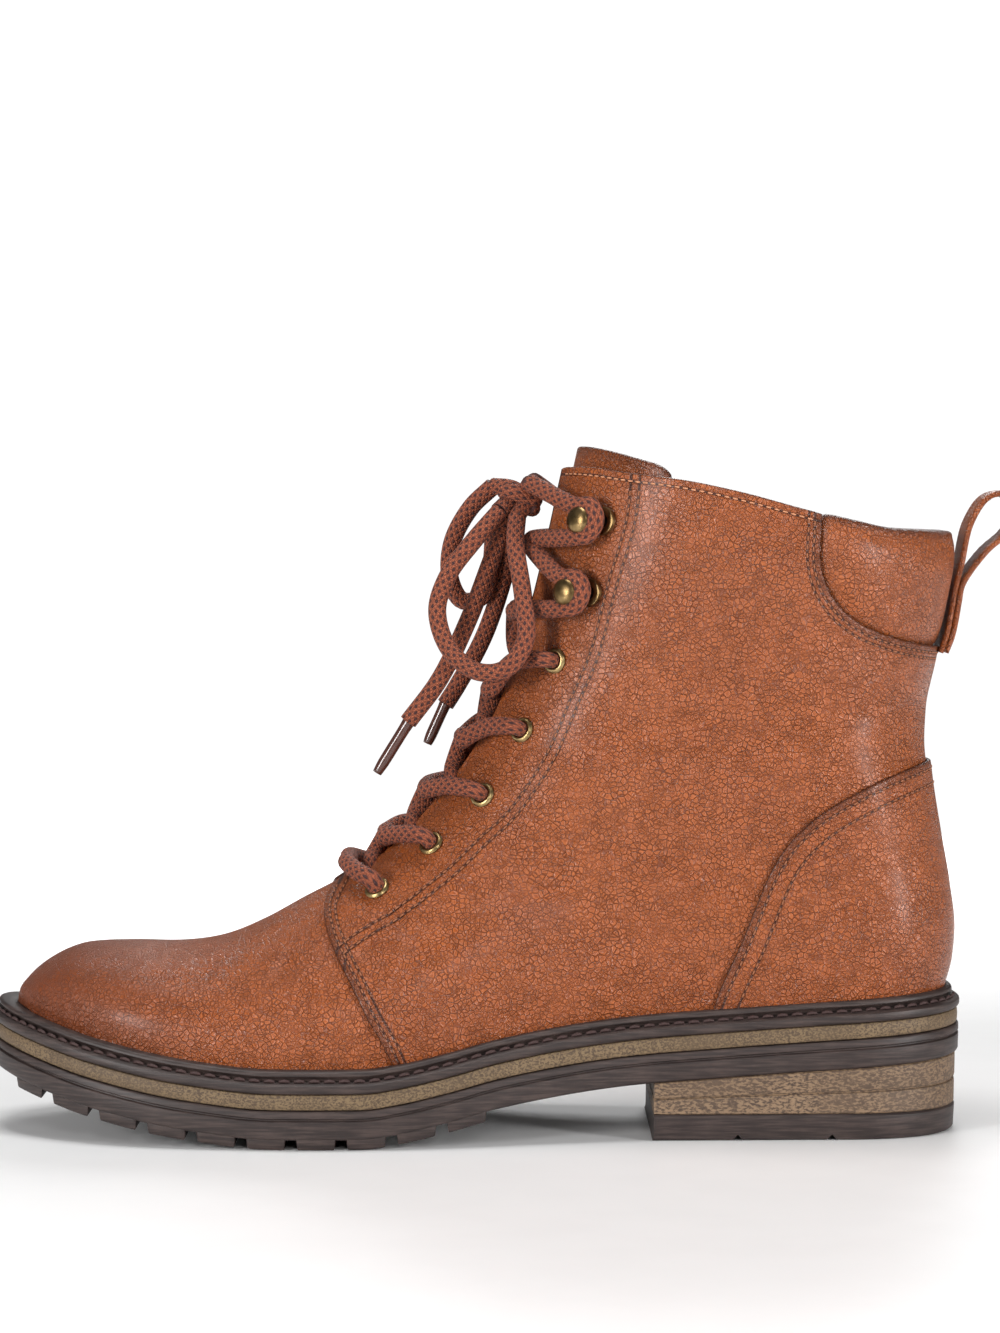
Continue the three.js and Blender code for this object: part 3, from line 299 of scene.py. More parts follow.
SHAFT_FULLNESS = table(
    "up ankle collar",
    [
        (0.2, 0.96, 0), (0.35, 0.97, 0), (0.58, 1.0, 0), (0.72, 0.72, 0.3), (0.87, 0.25, 0.76),
        (1.0, 0, 1), (1.1, 0, 1.01),
    ],
)
ridge_line = smooth_path(np.column_stack([to_x(RIDGE["along"]), to_z(RIDGE["up"])]))
ridge_samples = np.vstack([even_path(ridge_line, 161), [to_x(RIDGE_EXTENSION[0]), to_z(RIDGE_EXTENSION[1])]])
shin_samples = ridge_samples[ridge_samples[:, 1] >= to_z(0.2935)]
back_share = row_curve(BACK, "up", "back")
collar_up = row_curve(COLLAR, "along", "up")
shaft_of_ankle = row_curve(SHAFT_FULLNESS, "up", "ankle")
shaft_of_collar = row_curve(SHAFT_FULLNESS, "up", "collar")

FEATHER_TIP = TOE_TIP + WELT_WIDTH + 1
FEATHER_BACK = HEEL_BACK * 0.86
FAN_X = HEEL_BACK * 0.25
FAN_Z = SHAFT_HEIGHT * 0.13
FAN_LOW, FAN_HIGH = 22, 52
FRONT_ROUND = 58
RIDGE_PACE = 1.35


def collar_z(x):
    return to_z(collar_up((x - TOE_TIP) / BOOT_LENGTH))


def ridge_z(x):
    return np.interp(x, ridge_samples[:, 0], ridge_samples[:, 1])


def ridge_x(z):
    return np.interp(z, shin_samples[:, 1], shin_samples[:, 0])


def back_x(z):
    return HEEL_BACK * back_share(np.asarray(z) / SHAFT_HEIGHT)


def shaft_half_width(z):
    up = np.asarray(z) / SHAFT_HEIGHT
    return (shaft_of_ankle(up) * ANKLE_WIDTH + shaft_of_collar(up) * COLLAR_WIDTH) / 2


def half_width(x, z, sign):
    """Half width of the upper at a place in its side view."""
    feather = welt_top(x)
    fan = np.degrees(np.arctan2(z - FAN_Z, np.maximum(FAN_X - x, 1)))
    toe_end = rounded((x - FEATHER_TIP) / (TOE_ROUND - WELT_WIDTH / 2), TOE_POWER)
    climb = np.clip((z - feather) / (0.19 * SHAFT_HEIGHT), 0, 1)
    base = (plain_half_width(x, sign) - WELT_WIDTH) * toe_end + LOW_BULGE * np.sin(np.pi * climb)
    to_shaft = smooth(z - feather, 0.05 * SHAFT_HEIGHT, 0.42 * SHAFT_HEIGHT) * smooth(fan, 12, 42)
    full = mix(base, shaft_half_width(z), to_shaft)
    ridge = ridge_z(x)
    power = mix(2.25, 1.85, smooth(to_along(x), 0.15, 0.45))
    under_ridge = rounded((ridge - z) / np.maximum(ridge - feather, 0.01), power)
    behind_ridge = rounded((x - ridge_x(z)) / FRONT_ROUND, 1.95)
    front = mix(under_ridge, behind_ridge, smooth(fan, FAN_LOW, FAN_HIGH))
    high = smooth(z, 0.4 * SHAFT_HEIGHT, 0.85 * SHAFT_HEIGHT)
    back_depth = mix(HEEL_ROUND - WELT_WIDTH / 2, HEEL_LENGTH * 0.52, high)
    back_power = mix(HEEL_POWER, 2, smooth(z, 0.3 * SHAFT_HEIGHT, 0.7 * SHAFT_HEIGHT))
    return full * front * rounded((back_x(z) - x) / back_depth, back_power)


def sway(x, z):
    return centre_y(x) * smooth(to_z(0.55) - z, 0, to_z(0.2))


def surface_at(x, z, sign):
    """A point of the upper's outer surface and its outward direction."""
    slope_x = (half_width(x + 1, z, sign) - half_width(x - 1, z, sign)) / 2
    slope_z = (half_width(x, z + 1, sign) - half_width(x, z - 1, sign)) / 2
    point = np.stack([x, sway(x, z) + sign * half_width(x, z, sign), z], axis=-1)
    out = np.stack([-slope_x, np.full(np.shape(x), float(sign)), -slope_z], axis=-1)
    return point, unit(out)


# The upper's form as a fine grid: rings from the feather line to the collar, each running from
# the ridge along the lateral side to the back and home along the medial side
FORM_RINGS = 124
FORM_STRIPS = 210


def side_view_grid():
    """The side outline as a patch between the feather line, the ridge, the collar and the back."""
    v = np.linspace(0, 1, FORM_RINGS + 1)[:, None]
    u = (1 - np.cos(np.pi * np.arange(FORM_STRIPS + 1) / FORM_STRIPS))[None, :] / 2

    def feather(t):
        x = mix(to_x(RIDGE["along"][0]), FEATHER_BACK, t)
        lift = smooth(x, to_x(0.06), to_x(0.02))
        return np.stack([x, mix(welt_top(x) - 1, to_z(RIDGE["up"][0]), lift)])

    def collar(t):
        x = mix(ridge_line[-1, 0], back_x(to_z(0.9)), t)
        return np.stack([x, collar_z(x)])

    def ridge(t):
        run = running_length(ridge_line)
        place = t**RIDGE_PACE * run[-1]
        return np.stack([np.interp(place, run, ridge_line[:, 0]), np.interp(place, run, ridge_line[:, 1])])

    heel_z, back_top = feather(1.0)[1], collar(1.0)[1]

    def back(t):
        z = mix(heel_z, back_top, t)
        return np.stack([mix(FEATHER_BACK, back_x(z), smooth(t, 0, 0.05)), z])

    low, high, left, right = feather(u), collar(u), ridge(v), back(v)
    corners = [end(t)[:, None, None] for end in (feather, collar) for t in (0.0, 1.0)]
    level = mix(mix(corners[0], corners[1], u), mix(corners[2], corners[3], u), v)
    return mix(low, high, v) + mix(left, right, u) - level


# Where the toe's flat top begins and ends, and how the grid drops beside its ridge
TOE_FLAT_FROM, TOE_FLAT_TO = (-226, -206), (-172, -148)
RIDGE_DROP, RIDGE_STRIPS = 0.0011, 20


def under_toe_ridge(x, z):
    """Keeps the grid just under the flat top of the toe, where the patch would lie on it."""
    toe = smooth(x[:, :1], *TOE_FLAT_FROM) * (1 - smooth(x[:, :1], *TOE_FLAT_TO))
    least = RIDGE_DROP * toe * np.minimum(np.arange(x.shape[1]), RIDGE_STRIPS)[None, :] ** 2
    gap = ridge_z(x) - z
    kept = (gap + np.hypot(gap, 2 * least)) / 2
    return np.where(least > 0, ridge_z(x) - kept, z)


def form_grid():
    x, z = side_view_grid()
    z = under_toe_ridge(x, z)
    sides = []
    for sign in (LATERAL, MEDIAL):
        wide = half_width(x, z, sign)
        wide[:, 0] = 0
        wide[:, -1] = 0
        sides.append(np.stack([x, sway(x, z) + sign * wide, z], axis=-1))
    return np.concatenate([sides[0], sides[1][:, -2:0:-1]], axis=1)


def grid_normals(points):
    around = np.roll(points, -1, axis=1) - np.roll(points, 1, axis=1)
    return unit(np.cross(around, np.gradient(points, axis=0)))


FORM = form_grid()
NORMALS = grid_normals(FORM)
if NORMALS[FORM_RINGS // 2, FORM_STRIPS // 2, 1] > 0:
    NORMALS = -NORMALS
SIDE_X, SIDE_Z = FORM[..., 0], FORM[..., 2]
FROM_CENTRE = np.abs(FORM[..., 1] - sway(SIDE_X, SIDE_Z))
FRONT_HALF = np.ones(FORM.shape[:2], bool)
FRONT_HALF[:, FORM_STRIPS // 2 : FORM_STRIPS + FORM_STRIPS // 2] = False


# Panel edges in the side view, in shares of the length and shaft height
QUARTER_EDGE = [
    (0.385, 0.47), (0.363, 0.395), (0.349, 0.35), (0.352, 0.32), (0.365, 0.279), (0.381, 0.237),
    (0.396, 0.193), (0.412, 0.152), (0.43, 0.09),
]
COUNTER_EDGE = [
    (1.02, 0.557), (0.965, 0.556), (0.948, 0.551), (0.912, 0.534), (0.884, 0.515), (0.853, 0.489),
    (0.833, 0.465), (0.815, 0.436), (0.801, 0.402), (0.79, 0.365), (0.78, 0.328), (0.769, 0.288),
    (0.757, 0.25), (0.746, 0.21), (0.735, 0.15),
]
PAD_EDGE = [
    (0.8445, 1.05), (0.843, 0.91), (0.842, 0.867), (0.846, 0.837), (0.854, 0.811), (0.868, 0.786),
    (0.888, 0.765), (0.912, 0.75), (0.937, 0.739), (0.966, 0.731), (1.03, 0.722),
]
# The curve that the facing's first row of stitches follows, up and then off the boot
FACING_LINE = [
    (0.3633, 0.2905), (0.3794, 0.307), (0.4146, 0.338), (0.449, 0.375), (0.479, 0.41),
    (0.507, 0.451), (0.53, 0.481), (0.5536, 0.526), (0.575, 0.579), (0.597, 0.655), (0.617, 0.726),
    (0.634, 0.825), (0.653, 0.925), (0.659, 1.02),
]
THROAT_FROM = 0.3635


def edge_outline(shares, closing):
    """A rounded panel edge in the side view, closed by corners well off the boot."""
    points = np.array(shares)
    line = smooth_path(np.column_stack([to_x(points[:, 0]), to_z(points[:, 1])]), 8)
    corners = np.array(closing, float)
    return np.vstack([line, np.column_stack([to_x(corners[:, 0]), to_z(corners[:, 1])])])


def inside_distance(outline):
    """For each point of the form, its side-view distance to an outline, positive inside it."""
    nearest = np.full(SIDE_X.shape, 1e9)
    inside = np.zeros(SIDE_X.shape, bool)
    for (ax, az), (bx, bz) in zip(outline, np.roll(outline, -1, axis=0)):
        run, rise = bx - ax, bz - az
        t = np.clip(((SIDE_X - ax) * run + (SIDE_Z - az) * rise) / (run**2 + rise**2 + 1e-9), 0, 1)
        nearest = np.minimum(nearest, np.hypot(SIDE_X - ax - t * run, SIDE_Z - az - t * rise))
        if bz != az:
            inside ^= ((az > SIDE_Z) != (bz > SIDE_Z)) & (SIDE_X < run * (SIDE_Z - az) / rise + ax)
    return np.where(inside, nearest, -nearest)


FACING_OUTLINE = edge_outline(FACING_LINE, [(0.66, 1.3), (1.3, 1.3), (1.3, 0.05), (0.36, 0.05)])
IN_QUARTER = inside_distance(edge_outline(QUARTER_EDGE, [(1.3, 0), (1.3, 1.3), (0.3, 1.3)]))
IN_COUNTER = inside_distance(edge_outline(COUNTER_EDGE, [(1.1, 0)]))
IN_PAD = inside_distance(edge_outline(PAD_EDGE, [(1.1, 1.05)]))
throat_half = mix(0.6, 1, smooth(to_along(SIDE_X), THROAT_FROM, THROAT_FROM + 0.03)) * THROAT_GAP / 2
BESIDE_THROAT = np.where(FRONT_HALF, FROM_CENTRE - throat_half, 1e3)
UNDER_COLLAR = collar_z(SIDE_X) - SIDE_Z


def linked_object(name, mesh):
    piece = bpy.data.objects.new(name, mesh)
    bpy.context.scene.collection.objects.link(piece)
    return piece


def new_piece(name, points, faces, material, attributes=None):
    """A smooth-shaded mesh piece from points in millimetres."""
    mesh = bpy.data.meshes.new(name)
    mesh.from_pydata((np.asarray(points) * MM).tolist(), [], faces)
    for label, values in (attributes or {}).items():
        layer = mesh.attributes.new(label, "FLOAT", "POINT")
        layer.data.foreach_set("value", np.asarray(values, np.float32))
    mesh.polygons.foreach_set("use_smooth", [True] * len(mesh.polygons))
    mesh.materials.append(material)
    mesh.update()
    return linked_object(name, mesh)


def dress(piece, slot, *nodes):
    """Fastens a piece to the boot and hides the solids that it stands for; the name of its finish is not
    used.
    """
    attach(piece, "root")
    if nodes:
        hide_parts(*nodes)
    return piece


def select_only(*pieces):
    bpy.ops.object.select_all(action="DESELECT")
    for piece in pieces:
        piece.select_set(True)
    bpy.context.view_layer.objects.active = pieces[0]


def joined(name, pieces):
    """Several objects made one mesh."""
    select_only(*pieces)
    bpy.ops.object.join()
    pieces[0].name = name
    pieces[0].data.name = name
    return pieces[0]


def rim_profile(radius, thickness):
    """A rounded edge: how far out and how far down, from the face to the underside."""
    turns = np.radians([25, 50, 72, 90])
    curve = [(radius * math.sin(a), radius * (1 - math.cos(a))) for a in turns]
    return [*curve, (radius, max(thickness - 0.4 * radius, radius)), (0.6 * radius, thickness)]


def cut_grid(field, layers):
    """Keeps the form where a field is positive, with the points beside its edge moved onto it."""
    best = np.full(field.shape, 0.5)
    moved = layers.copy()
    value = field.copy()
    for axis, step in ((1, 1), (1, -1), (0, 1), (0, -1)):
        other = np.roll(field, -step, axis)
        beside = np.roll(layers, -step, axis)
        crossing = field * other < 0
        if axis == 0:
            crossing[-1 if step > 0 else 0] = False
        share = np.where(crossing, field / np.where(crossing, field - other, 1), 1)
        nearer = crossing & (share < best)
        best[nearer] = share[nearer]
        moved[nearer] = layers[nearer] + share[nearer][:, None] * (beside[nearer] - layers[nearer])
        value[nearer] = 0
    keep = value >= 0
    rows, columns = field.shape
    ids = np.arange(rows * columns).reshape(rows, columns)
    corners = [ids[:-1], np.roll(ids, -1, 1)[:-1], np.roll(ids, -1, 1)[1:], ids[1:]]
    quads = np.stack(corners, axis=-1).reshape(-1, 4)
    kept = keep.ravel()[quads]
    middle = field.ravel()[quads].mean(axis=1)
    count = kept.sum(axis=1)
    whole = quads[(count == 4) & (middle > 0)]
    partly = count == 3
    thirds = quads[partly][kept[partly]].reshape(-1, 3)
    faces = [tuple(face) for face in whole.tolist()] + [tuple(face) for face in thirds.tolist()]
    return moved.reshape(rows * columns, -1), faces


def edge_loops(faces):
    """The open edges of a sheet of faces, chained in order."""
    edges = {(face[i], face[(i + 1) % len(face)]) for face in faces for i in range(len(face))}
    after = {a: b for a, b in edges if (b, a) not in edges}
    loops = []
    while after:
        start, here = after.popitem()
        loop = [start]
        while here != start:
            loop.append(here)
            here = after.pop(here)
        loops.append(loop)
    return loops


def softened(vectors, times):
    for _ in range(times):
        vectors = (np.roll(vectors, 1, 0) + 2 * vectors + np.roll(vectors, -1, 0)) / 4
    return unit(vectors)


def panel(name, field, offset, thickness, radius, material, attributes, form=(FORM, NORMALS)):
    """A leather panel lying on the form, with rounded edges and an underside."""
    labels = list(attributes)
    planes = [*form, np.broadcast_to(offset, field.shape)[..., None]]
    planes += [np.broadcast_to(attributes[label], field.shape)[..., None] for label in labels]
    data, faces = cut_grid(field, np.concatenate(planes, axis=-1))
    used = np.unique(np.concatenate([np.array(face) for face in faces]))
    index = np.full(len(data), -1)
    index[used] = np.arange(len(used))
    data = data[used]
    faces = [tuple(index[list(face)].tolist()) for face in faces]
    loops = edge_loops(faces)
    first = faces[0]
    a, b, c = (data[i, :3] for i in first[:3])
    if np.dot(np.cross(b - a, c - a), data[first[0], 3:6]) < 0:
        faces = [face[::-1] for face in faces]
        loops = [loop[::-1] for loop in loops]
    # Known fault: three points at the toe's tip have no direction and so get no place
    normals = data[:, 3:6] / np.linalg.norm(data[:, 3:6], axis=1, keepdims=True)
    top = data[:, :3] + normals * data[:, 6:7]
    inner = top - normals * thickness
    points, extra = [top], [np.column_stack([data[:, 7:], np.zeros(len(data))])]
    total = len(top)
    under = np.arange(total) + total
    solid = list(faces)
    rims = []
    for loop in loops:
        ring = np.array(loop)
        tangent = softened(np.roll(top[ring], -2, 0) - np.roll(top[ring], 2, 0), 2)
        outward = softened(np.cross(tangent, normals[ring]), 2)
        rims.append((ring, outward))
    points.append(inner)
    extra.append(np.column_stack([data[:, 7:], np.ones(len(data))]))
    total *= 2
    profile = rim_profile(radius, thickness)
    for ring, outward in rims:
        previous = ring
        for step, (out, down) in enumerate(profile):
            if step == len(profile) - 1:
                inner[ring] = top[ring] + outward * out - normals[ring] * down
                here = under[ring]
            else:
                points.append(top[ring] + outward * out - normals[ring] * down)
                extra.append(np.column_stack([data[ring, 7:], np.full(len(ring), out / radius)]))
                here = np.arange(total, total + len(ring))
                total += len(ring)
            ahead_before, ahead_here = np.roll(previous, -1), np.roll(here, -1)
            solid += list(zip(previous.tolist(), here.tolist(), ahead_here.tolist(), ahead_before.tolist()))
            previous = here
    solid += [tuple(int(under[i]) for i in reversed(face)) for face in faces]
    values = np.vstack(extra)
    marks = {label: values[:, i] for i, label in enumerate([*labels, "rim"])}
    return new_piece(name, np.vstack(points), solid, material, marks)


def turn_outward(piece):
    """Closes a mesh's doubled points and turns its faces outwards."""
    select_only(piece)
    bpy.ops.object.mode_set(mode="EDIT")
    bpy.ops.mesh.select_all(action="SELECT")
    bpy.ops.mesh.remove_doubles(threshold=1e-6)
    bpy.ops.mesh.normals_make_consistent(inside=False)
    bpy.ops.object.mode_set(mode="OBJECT")
    return piece


def tube(name, line, radii, material, sides=14, step=1.0):
    """A cord's surface along a line, with the weave's own UV map: once round, and length over girth."""
    count = max(int(path_length(line) / step), 6)
    centre = even_path(line, count + 1)
    radii = np.atleast_1d(radii)
    radii = np.interp(np.linspace(0, 1, count + 1), np.linspace(0, 1, len(radii)), radii)
    tangents = unit(np.gradient(centre, axis=0))
    side = np.cross(tangents[0], [0.3, 0.9, 0.31])
    frames = []
    for tangent in tangents:
        side = side - tangent * np.dot(side, tangent)
        side /= np.linalg.norm(side)
        frames.append((side, np.cross(tangent, side)))
    turns = 2 * np.pi * np.arange(sides) / sides
    points = [
        centre[i] + radii[i] * (np.cos(turns)[:, None] * a + np.sin(turns)[:, None] * b)
        for i, (a, b) in enumerate(frames)
    ]
    faces = ring_quads(count + 1, sides)
    last, ends = count * sides, (count + 1) * sides
    faces += [(ends, (j + 1) % sides, j) for j in range(sides)]
    faces += [(ends + 1, last + j, last + (j + 1) % sides) for j in range(sides)]
    piece = new_piece(name, np.vstack([*points, centre[:1], centre[-1:]]), faces, material)
    girth = 2 * np.pi * float(np.mean(radii))
    length = path_length(centre)
    uv = piece.data.uv_layers.new(name="weave")
    rows = []
    for i in range(count):
        low, high = i / count * length / girth, (i + 1) / count * length / girth
        for j in range(sides):
            left, right = j / sides, (j + 1) / sides
            rows += [(left, low), (right, low), (right, high), (left, high)]
    rows += [(0, 0)] * (2 * sides * 3)
    uv.data.foreach_set("uv", np.array(rows, np.float32).ravel())
    return piece


# Materials


def srgb(red, green, blue):
    """A colour read off a screen, 0 to 255, as linear light."""
    shares = [value / 255 for value in (red, green, blue)]
    return tuple(s / 12.92 if s <= 0.04045 else ((s + 0.055) / 1.055) ** 2.4 for s in shares)


class Finish:
    """A material being wired up, with its shader at hand."""

    def __init__(self, name):
        self.material = bpy.data.materials.new(name)
        self.material.use_nodes = True
        self.nodes = self.material.node_tree.nodes
        self.links = self.material.node_tree.links
        self.shader = self.nodes["Principled BSDF"]

    def node(self, kind, settings=None, **sockets):
        made = self.nodes.new(kind)
        for key, value in (settings or {}).items():
            setattr(made, key, value)
        for key, value in sockets.items():
            self.set(made.inputs[key.replace("_", " ")], value)
        return made

    def set(self, socket, value):
        if isinstance(value, bpy.types.NodeSocket):
            self.links.new(value, socket)
        elif socket.type == "RGBA" and len(value) == 3:
            socket.default_value = (*value, 1)
        else:
            socket.default_value = value

    def math(self, operation, a, b=0.0):
        made = self.node("ShaderNodeMath", {"operation": operation})
        self.set(made.inputs[0], a)
        self.set(made.inputs[1], b)
        return made.outputs[0]

    def plus(self, a, b):
        return self.math("ADD", a, b)

    def minus(self, a, b):
        return self.math("SUBTRACT", a, b)

    def times(self, a, b):
        return self.math("MULTIPLY", a, b)

    def place(self):
        return self.node("ShaderNodeTexCoord").outputs["Object"]

    def attribute(self, name):
        return self.node("ShaderNodeAttribute", {"attribute_name": name}).outputs["Fac"]

    def noise(self, vector, scale, detail=3.0, roughness=0.55):
        made = self.node("ShaderNodeTexNoise", Vector=vector, Scale=scale, Detail=detail, Roughness=roughness)
        return made.outputs["Fac"]

    def drawn_noise(self, vector, scales, detail, roughness):
        """Noise drawn out by a scale of its own along each axis."""
        stretch = self.node("ShaderNodeMapping", Vector=vector)
        stretch.inputs["Scale"].default_value = scales
        return self.noise(stretch.outputs["Vector"], 1.0, detail, roughness)

    def cells(self, vector, scale):
        """Distance to the nearest border of a net of cells."""
        net = self.node("ShaderNodeTexVoronoi", {"feature": "DISTANCE_TO_EDGE"}, Vector=vector, Scale=scale)
        return net.outputs["Distance"]

    def ramp(self, value, low, high, start=0.0, end=1.0):
        made = self.node("ShaderNodeMapRange", {"interpolation_type": "SMOOTHSTEP"})
        for key, number in (("From Min", low), ("From Max", high), ("To Min", start), ("To Max", end)):
            made.inputs[key].default_value = number
        self.set(made.inputs["Value"], value)
        return made.outputs["Result"]

    def blend(self, share, a, b):
        made = self.node("ShaderNodeMix", {"data_type": "RGBA"})
        self.set(made.inputs["Factor"], share)
        self.set(made.inputs["A"], a)
        self.set(made.inputs["B"], b)
        return made.outputs["Result"]

    def warped(self, vector, scale, amount):
        """A place shifted about by noise, so that a pattern runs unevenly."""
        drift = self.node("ShaderNodeTexNoise", Vector=vector, Scale=scale, Detail=3.0, Roughness=0.55)
        centred = self.node("ShaderNodeVectorMath", {"operation": "SUBTRACT"})
        self.set(centred.inputs[0], drift.outputs["Color"])
        centred.inputs[1].default_value = (0.5, 0.5, 0.5)
        scaled = self.node("ShaderNodeVectorMath", {"operation": "SCALE"})
        self.set(scaled.inputs[0], centred.outputs[0])
        scaled.inputs["Scale"].default_value = amount
        added = self.node("ShaderNodeVectorMath", {"operation": "ADD"})
        self.set(added.inputs[0], vector)
        self.set(added.inputs[1], scaled.outputs[0])
        return added.outputs[0]

    def bump(self, height, distance, strength=1.0):
        made = self.node("ShaderNodeBump")
        made.inputs["Strength"].default_value = strength
        made.inputs["Distance"].default_value = distance
        self.set(made.inputs["Height"], height)
        self.set(self.shader.inputs["Normal"], made.outputs["Normal"])

    def finish(self, **sockets):
        for key, value in sockets.items():
            self.set(self.shader.inputs[key.replace("_", " ")], value)
        return self.material


def leather(name, light, dark, crack_and_shade, vein, rows=()):
    """Leather with a net of cracks beside pale bands, burnished edges and toe, and sewn troughs darkened by
    painted shade.

    The rows of stitches lie at distances along the named attributes, all in millimetres.
    """
    f = Finish(name)
    place = f.place()
    bent = f.warped(f.warped(place, 80.0, 0.0025), 420.0, 0.0007)
    within = f.cells(bent, 680.0)
    broad = f.ramp(within, 0.12, 0.0)
    fine = f.ramp(f.cells(bent, 1350.0), 0.14, 0.0)
    depth = f.ramp(f.noise(place, 150.0, 3.0), 0.3, 0.64, 0.5, 0.95)
    spread = f.ramp(f.noise(place, 260.0, 3.0), 0.36, 0.64, 0.0, 0.6)
    cracks = f.math("MAXIMUM", f.times(broad, depth), f.times(fine, spread))
    raised = f.times(f.ramp(within, 0.05, 0.14), f.ramp(within, 0.34, 0.16))
    pores = f.noise(place, 1900.0, 3.0)
    height = f.plus(f.times(raised, 0.25), f.times(pores, 0.25))
    height = f.minus(height, cracks)
    cloud = f.ramp(f.noise(place, 30.0, 4.0, 0.6), 0.32, 0.68)
    mottle = f.ramp(f.noise(place, 1000.0, 3.0), 0.35, 0.65)
    colour = f.blend(f.plus(f.times(cloud, 0.45), f.times(mottle, 0.55)), dark, light)
    colour = f.blend(f.times(raised, 0.4), colour, vein)
    colour = f.blend(f.times(cracks, 0.5), colour, crack_and_shade)
    edge = f.attribute("edge")
    near_edge = f.times(f.ramp(edge, 3.0, 0.0), 0.5)
    colour = f.blend(near_edge, colour, crack_and_shade)
    toe = f.ramp(f.node("ShaderNodeSeparateXYZ", Vector=place).outputs["X"], -0.16, -0.225, 0.0, 0.85)
    colour = f.blend(toe, colour, f.blend(0.4, dark, crack_and_shade))
    for label, distance in rows:
        away = f.math("ABSOLUTE", f.minus(f.attribute(label), distance))
        height = f.minus(height, f.times(f.ramp(away, 0.75, 0.0), 0.8))
        # Painted shade: the leather darkens along each stitch row's trough and holes.
        colour = f.blend(f.times(f.ramp(away, 0.55, 0.2), 0.95), colour, crack_and_shade)
    colour = f.blend(f.times(f.attribute("rim"), 0.8), colour, crack_and_shade)
    f.bump(height, 0.0003, 1.0)
    gloss = f.ramp(f.noise(place, 60.0, 3.0), 0.3, 0.7, 0.28, 0.38)
    gloss = f.plus(gloss, f.times(toe, 0.18))
    shine = {"Roughness": gloss, "Specular_IOR_Level": 0.42, "Coat_Weight": 0.1, "Coat_Roughness": 0.26}
    return f.finish(Base_Color=colour, **shine)


def lining_cloth():
    f = Finish("lining_suede")
    place = f.place()
    nap = f.noise(place, 1500.0, 4.0)
    colour = f.blend(f.ramp(f.noise(place, 30.0), 0.3, 0.7), srgb(96, 66, 48), srgb(122, 86, 64))
    f.bump(nap, 0.0003, 0.5)
    return f.finish(Base_Color=colour, Roughness=0.85, Sheen_Weight=0.25)


def dark_rubber():
    f = Finish("sole_rubber")
    place = f.place()
    brushed = f.drawn_noise(place, (90.0, 90.0, 1400.0), 4.0, 0.5)
    mottled = f.noise(place, 260.0, 4.0)
    colour = f.blend(f.ramp(brushed, 0.35, 0.7), srgb(40, 30, 28), srgb(68, 55, 51))
    colour = f.blend(f.ramp(mottled, 0.3, 0.75, 0.0, 0.35), colour, srgb(34, 26, 25))
    f.bump(f.plus(brushed, f.times(mottled, 0.6)), 0.00025, 0.35)
    return f.finish(Base_Color=colour, Roughness=0.52, Specular_IOR_Level=0.42)


def stacked_tan(name, fleck_scale, light, dark):
    """Tan stack with dark flecks, drawn out along the sole."""
    f = Finish(name)
    place = f.place()
    flecks = f.drawn_noise(f.warped(place, 300.0, 0.001), fleck_scale, 5.0, 0.62)
    drift = f.noise(place, 45.0, 3.0)
    share = f.ramp(f.plus(flecks, f.times(drift, 0.2)), 0.5, 0.7)
    colour = f.blend(share, light, dark)
    colour = f.blend(f.ramp(drift, 0.4, 0.65, 0.0, 0.4), colour, f.blend(0.5, light, dark))
    f.bump(flecks, 0.0002, 0.35)
    return f.finish(Base_Color=colour, Roughness=0.62, Specular_IOR_Level=0.35)


def aged_brass(name, low, high):
    f = Finish(name)
    place = f.place()
    worn = f.ramp(f.noise(place, 260.0, 3.0), 0.35, 0.7)
    colour = f.blend(worn, low, high)
    f.bump(f.noise(place, 500.0, 2.0), 0.0001, 0.05)
    rough = f.ramp(f.noise(place, 400.0, 2.0), 0.3, 0.7, 0.26, 0.4)
    return f.finish(Base_Color=colour, Roughness=rough, Metallic=1.0)


# Painted shade: a dark disc standing for the shadow inside a hook rivet's hollow.
def painted_hole_shade():
    f = Finish("painted_hole_shadow")
    colour = f.blend(f.noise(f.place(), 900.0), srgb(24, 18, 14), srgb(48, 38, 30))
    return f.finish(Base_Color=colour, Roughness=0.6, Metallic=0.6)


def woven_lace():
    """Round braided lace: slanted plaits with rows of dark flecks, and painted shade in the grooves between
    them.
    """
    f = Finish("lace_braid")
    weave = f.node("ShaderNodeUVMap", {"uv_map": "weave"}).outputs["UV"]
    split = f.node("ShaderNodeSeparateXYZ", Vector=weave)
    round_it, along = split.outputs["X"], split.outputs["Y"]
    turns = f.times(round_it, 14.0)
    pace = f.times(along, 11.0)
    slants = (f.plus(pace, turns), f.minus(pace, turns))
    bulge, picks = [], []
    for slant in slants:
        inside = f.math("ABSOLUTE", f.minus(f.math("FRACT", slant), 0.5))
        bulge.append(f.ramp(inside, 0.5, 0.15))
        picks.append(f.math("LESS_THAN", f.math("FLOORED_MODULO", f.math("FLOOR", slant), 2.0), 1.0))
    height = f.times(bulge[0], bulge[1])
    picked = f.times(picks[0], picks[1])
    thread = f.noise(f.place(), 2400.0, 2.0)
    base = f.blend(f.ramp(thread, 0.3, 0.7), srgb(124, 62, 40), srgb(168, 92, 62))
    colour = f.blend(f.times(picked, 0.88), base, srgb(36, 24, 32))
    # Painted shade: darker in the grooves between the plaits.
    colour = f.blend(f.times(f.minus(1.0, height), 0.4), colour, srgb(70, 34, 24))
    f.bump(f.plus(height, f.times(thread, 0.2)), 0.0005, 0.8)
    return f.finish(Base_Color=colour, Roughness=0.7, Sheen_Weight=0.04, Specular_IOR_Level=0.3)


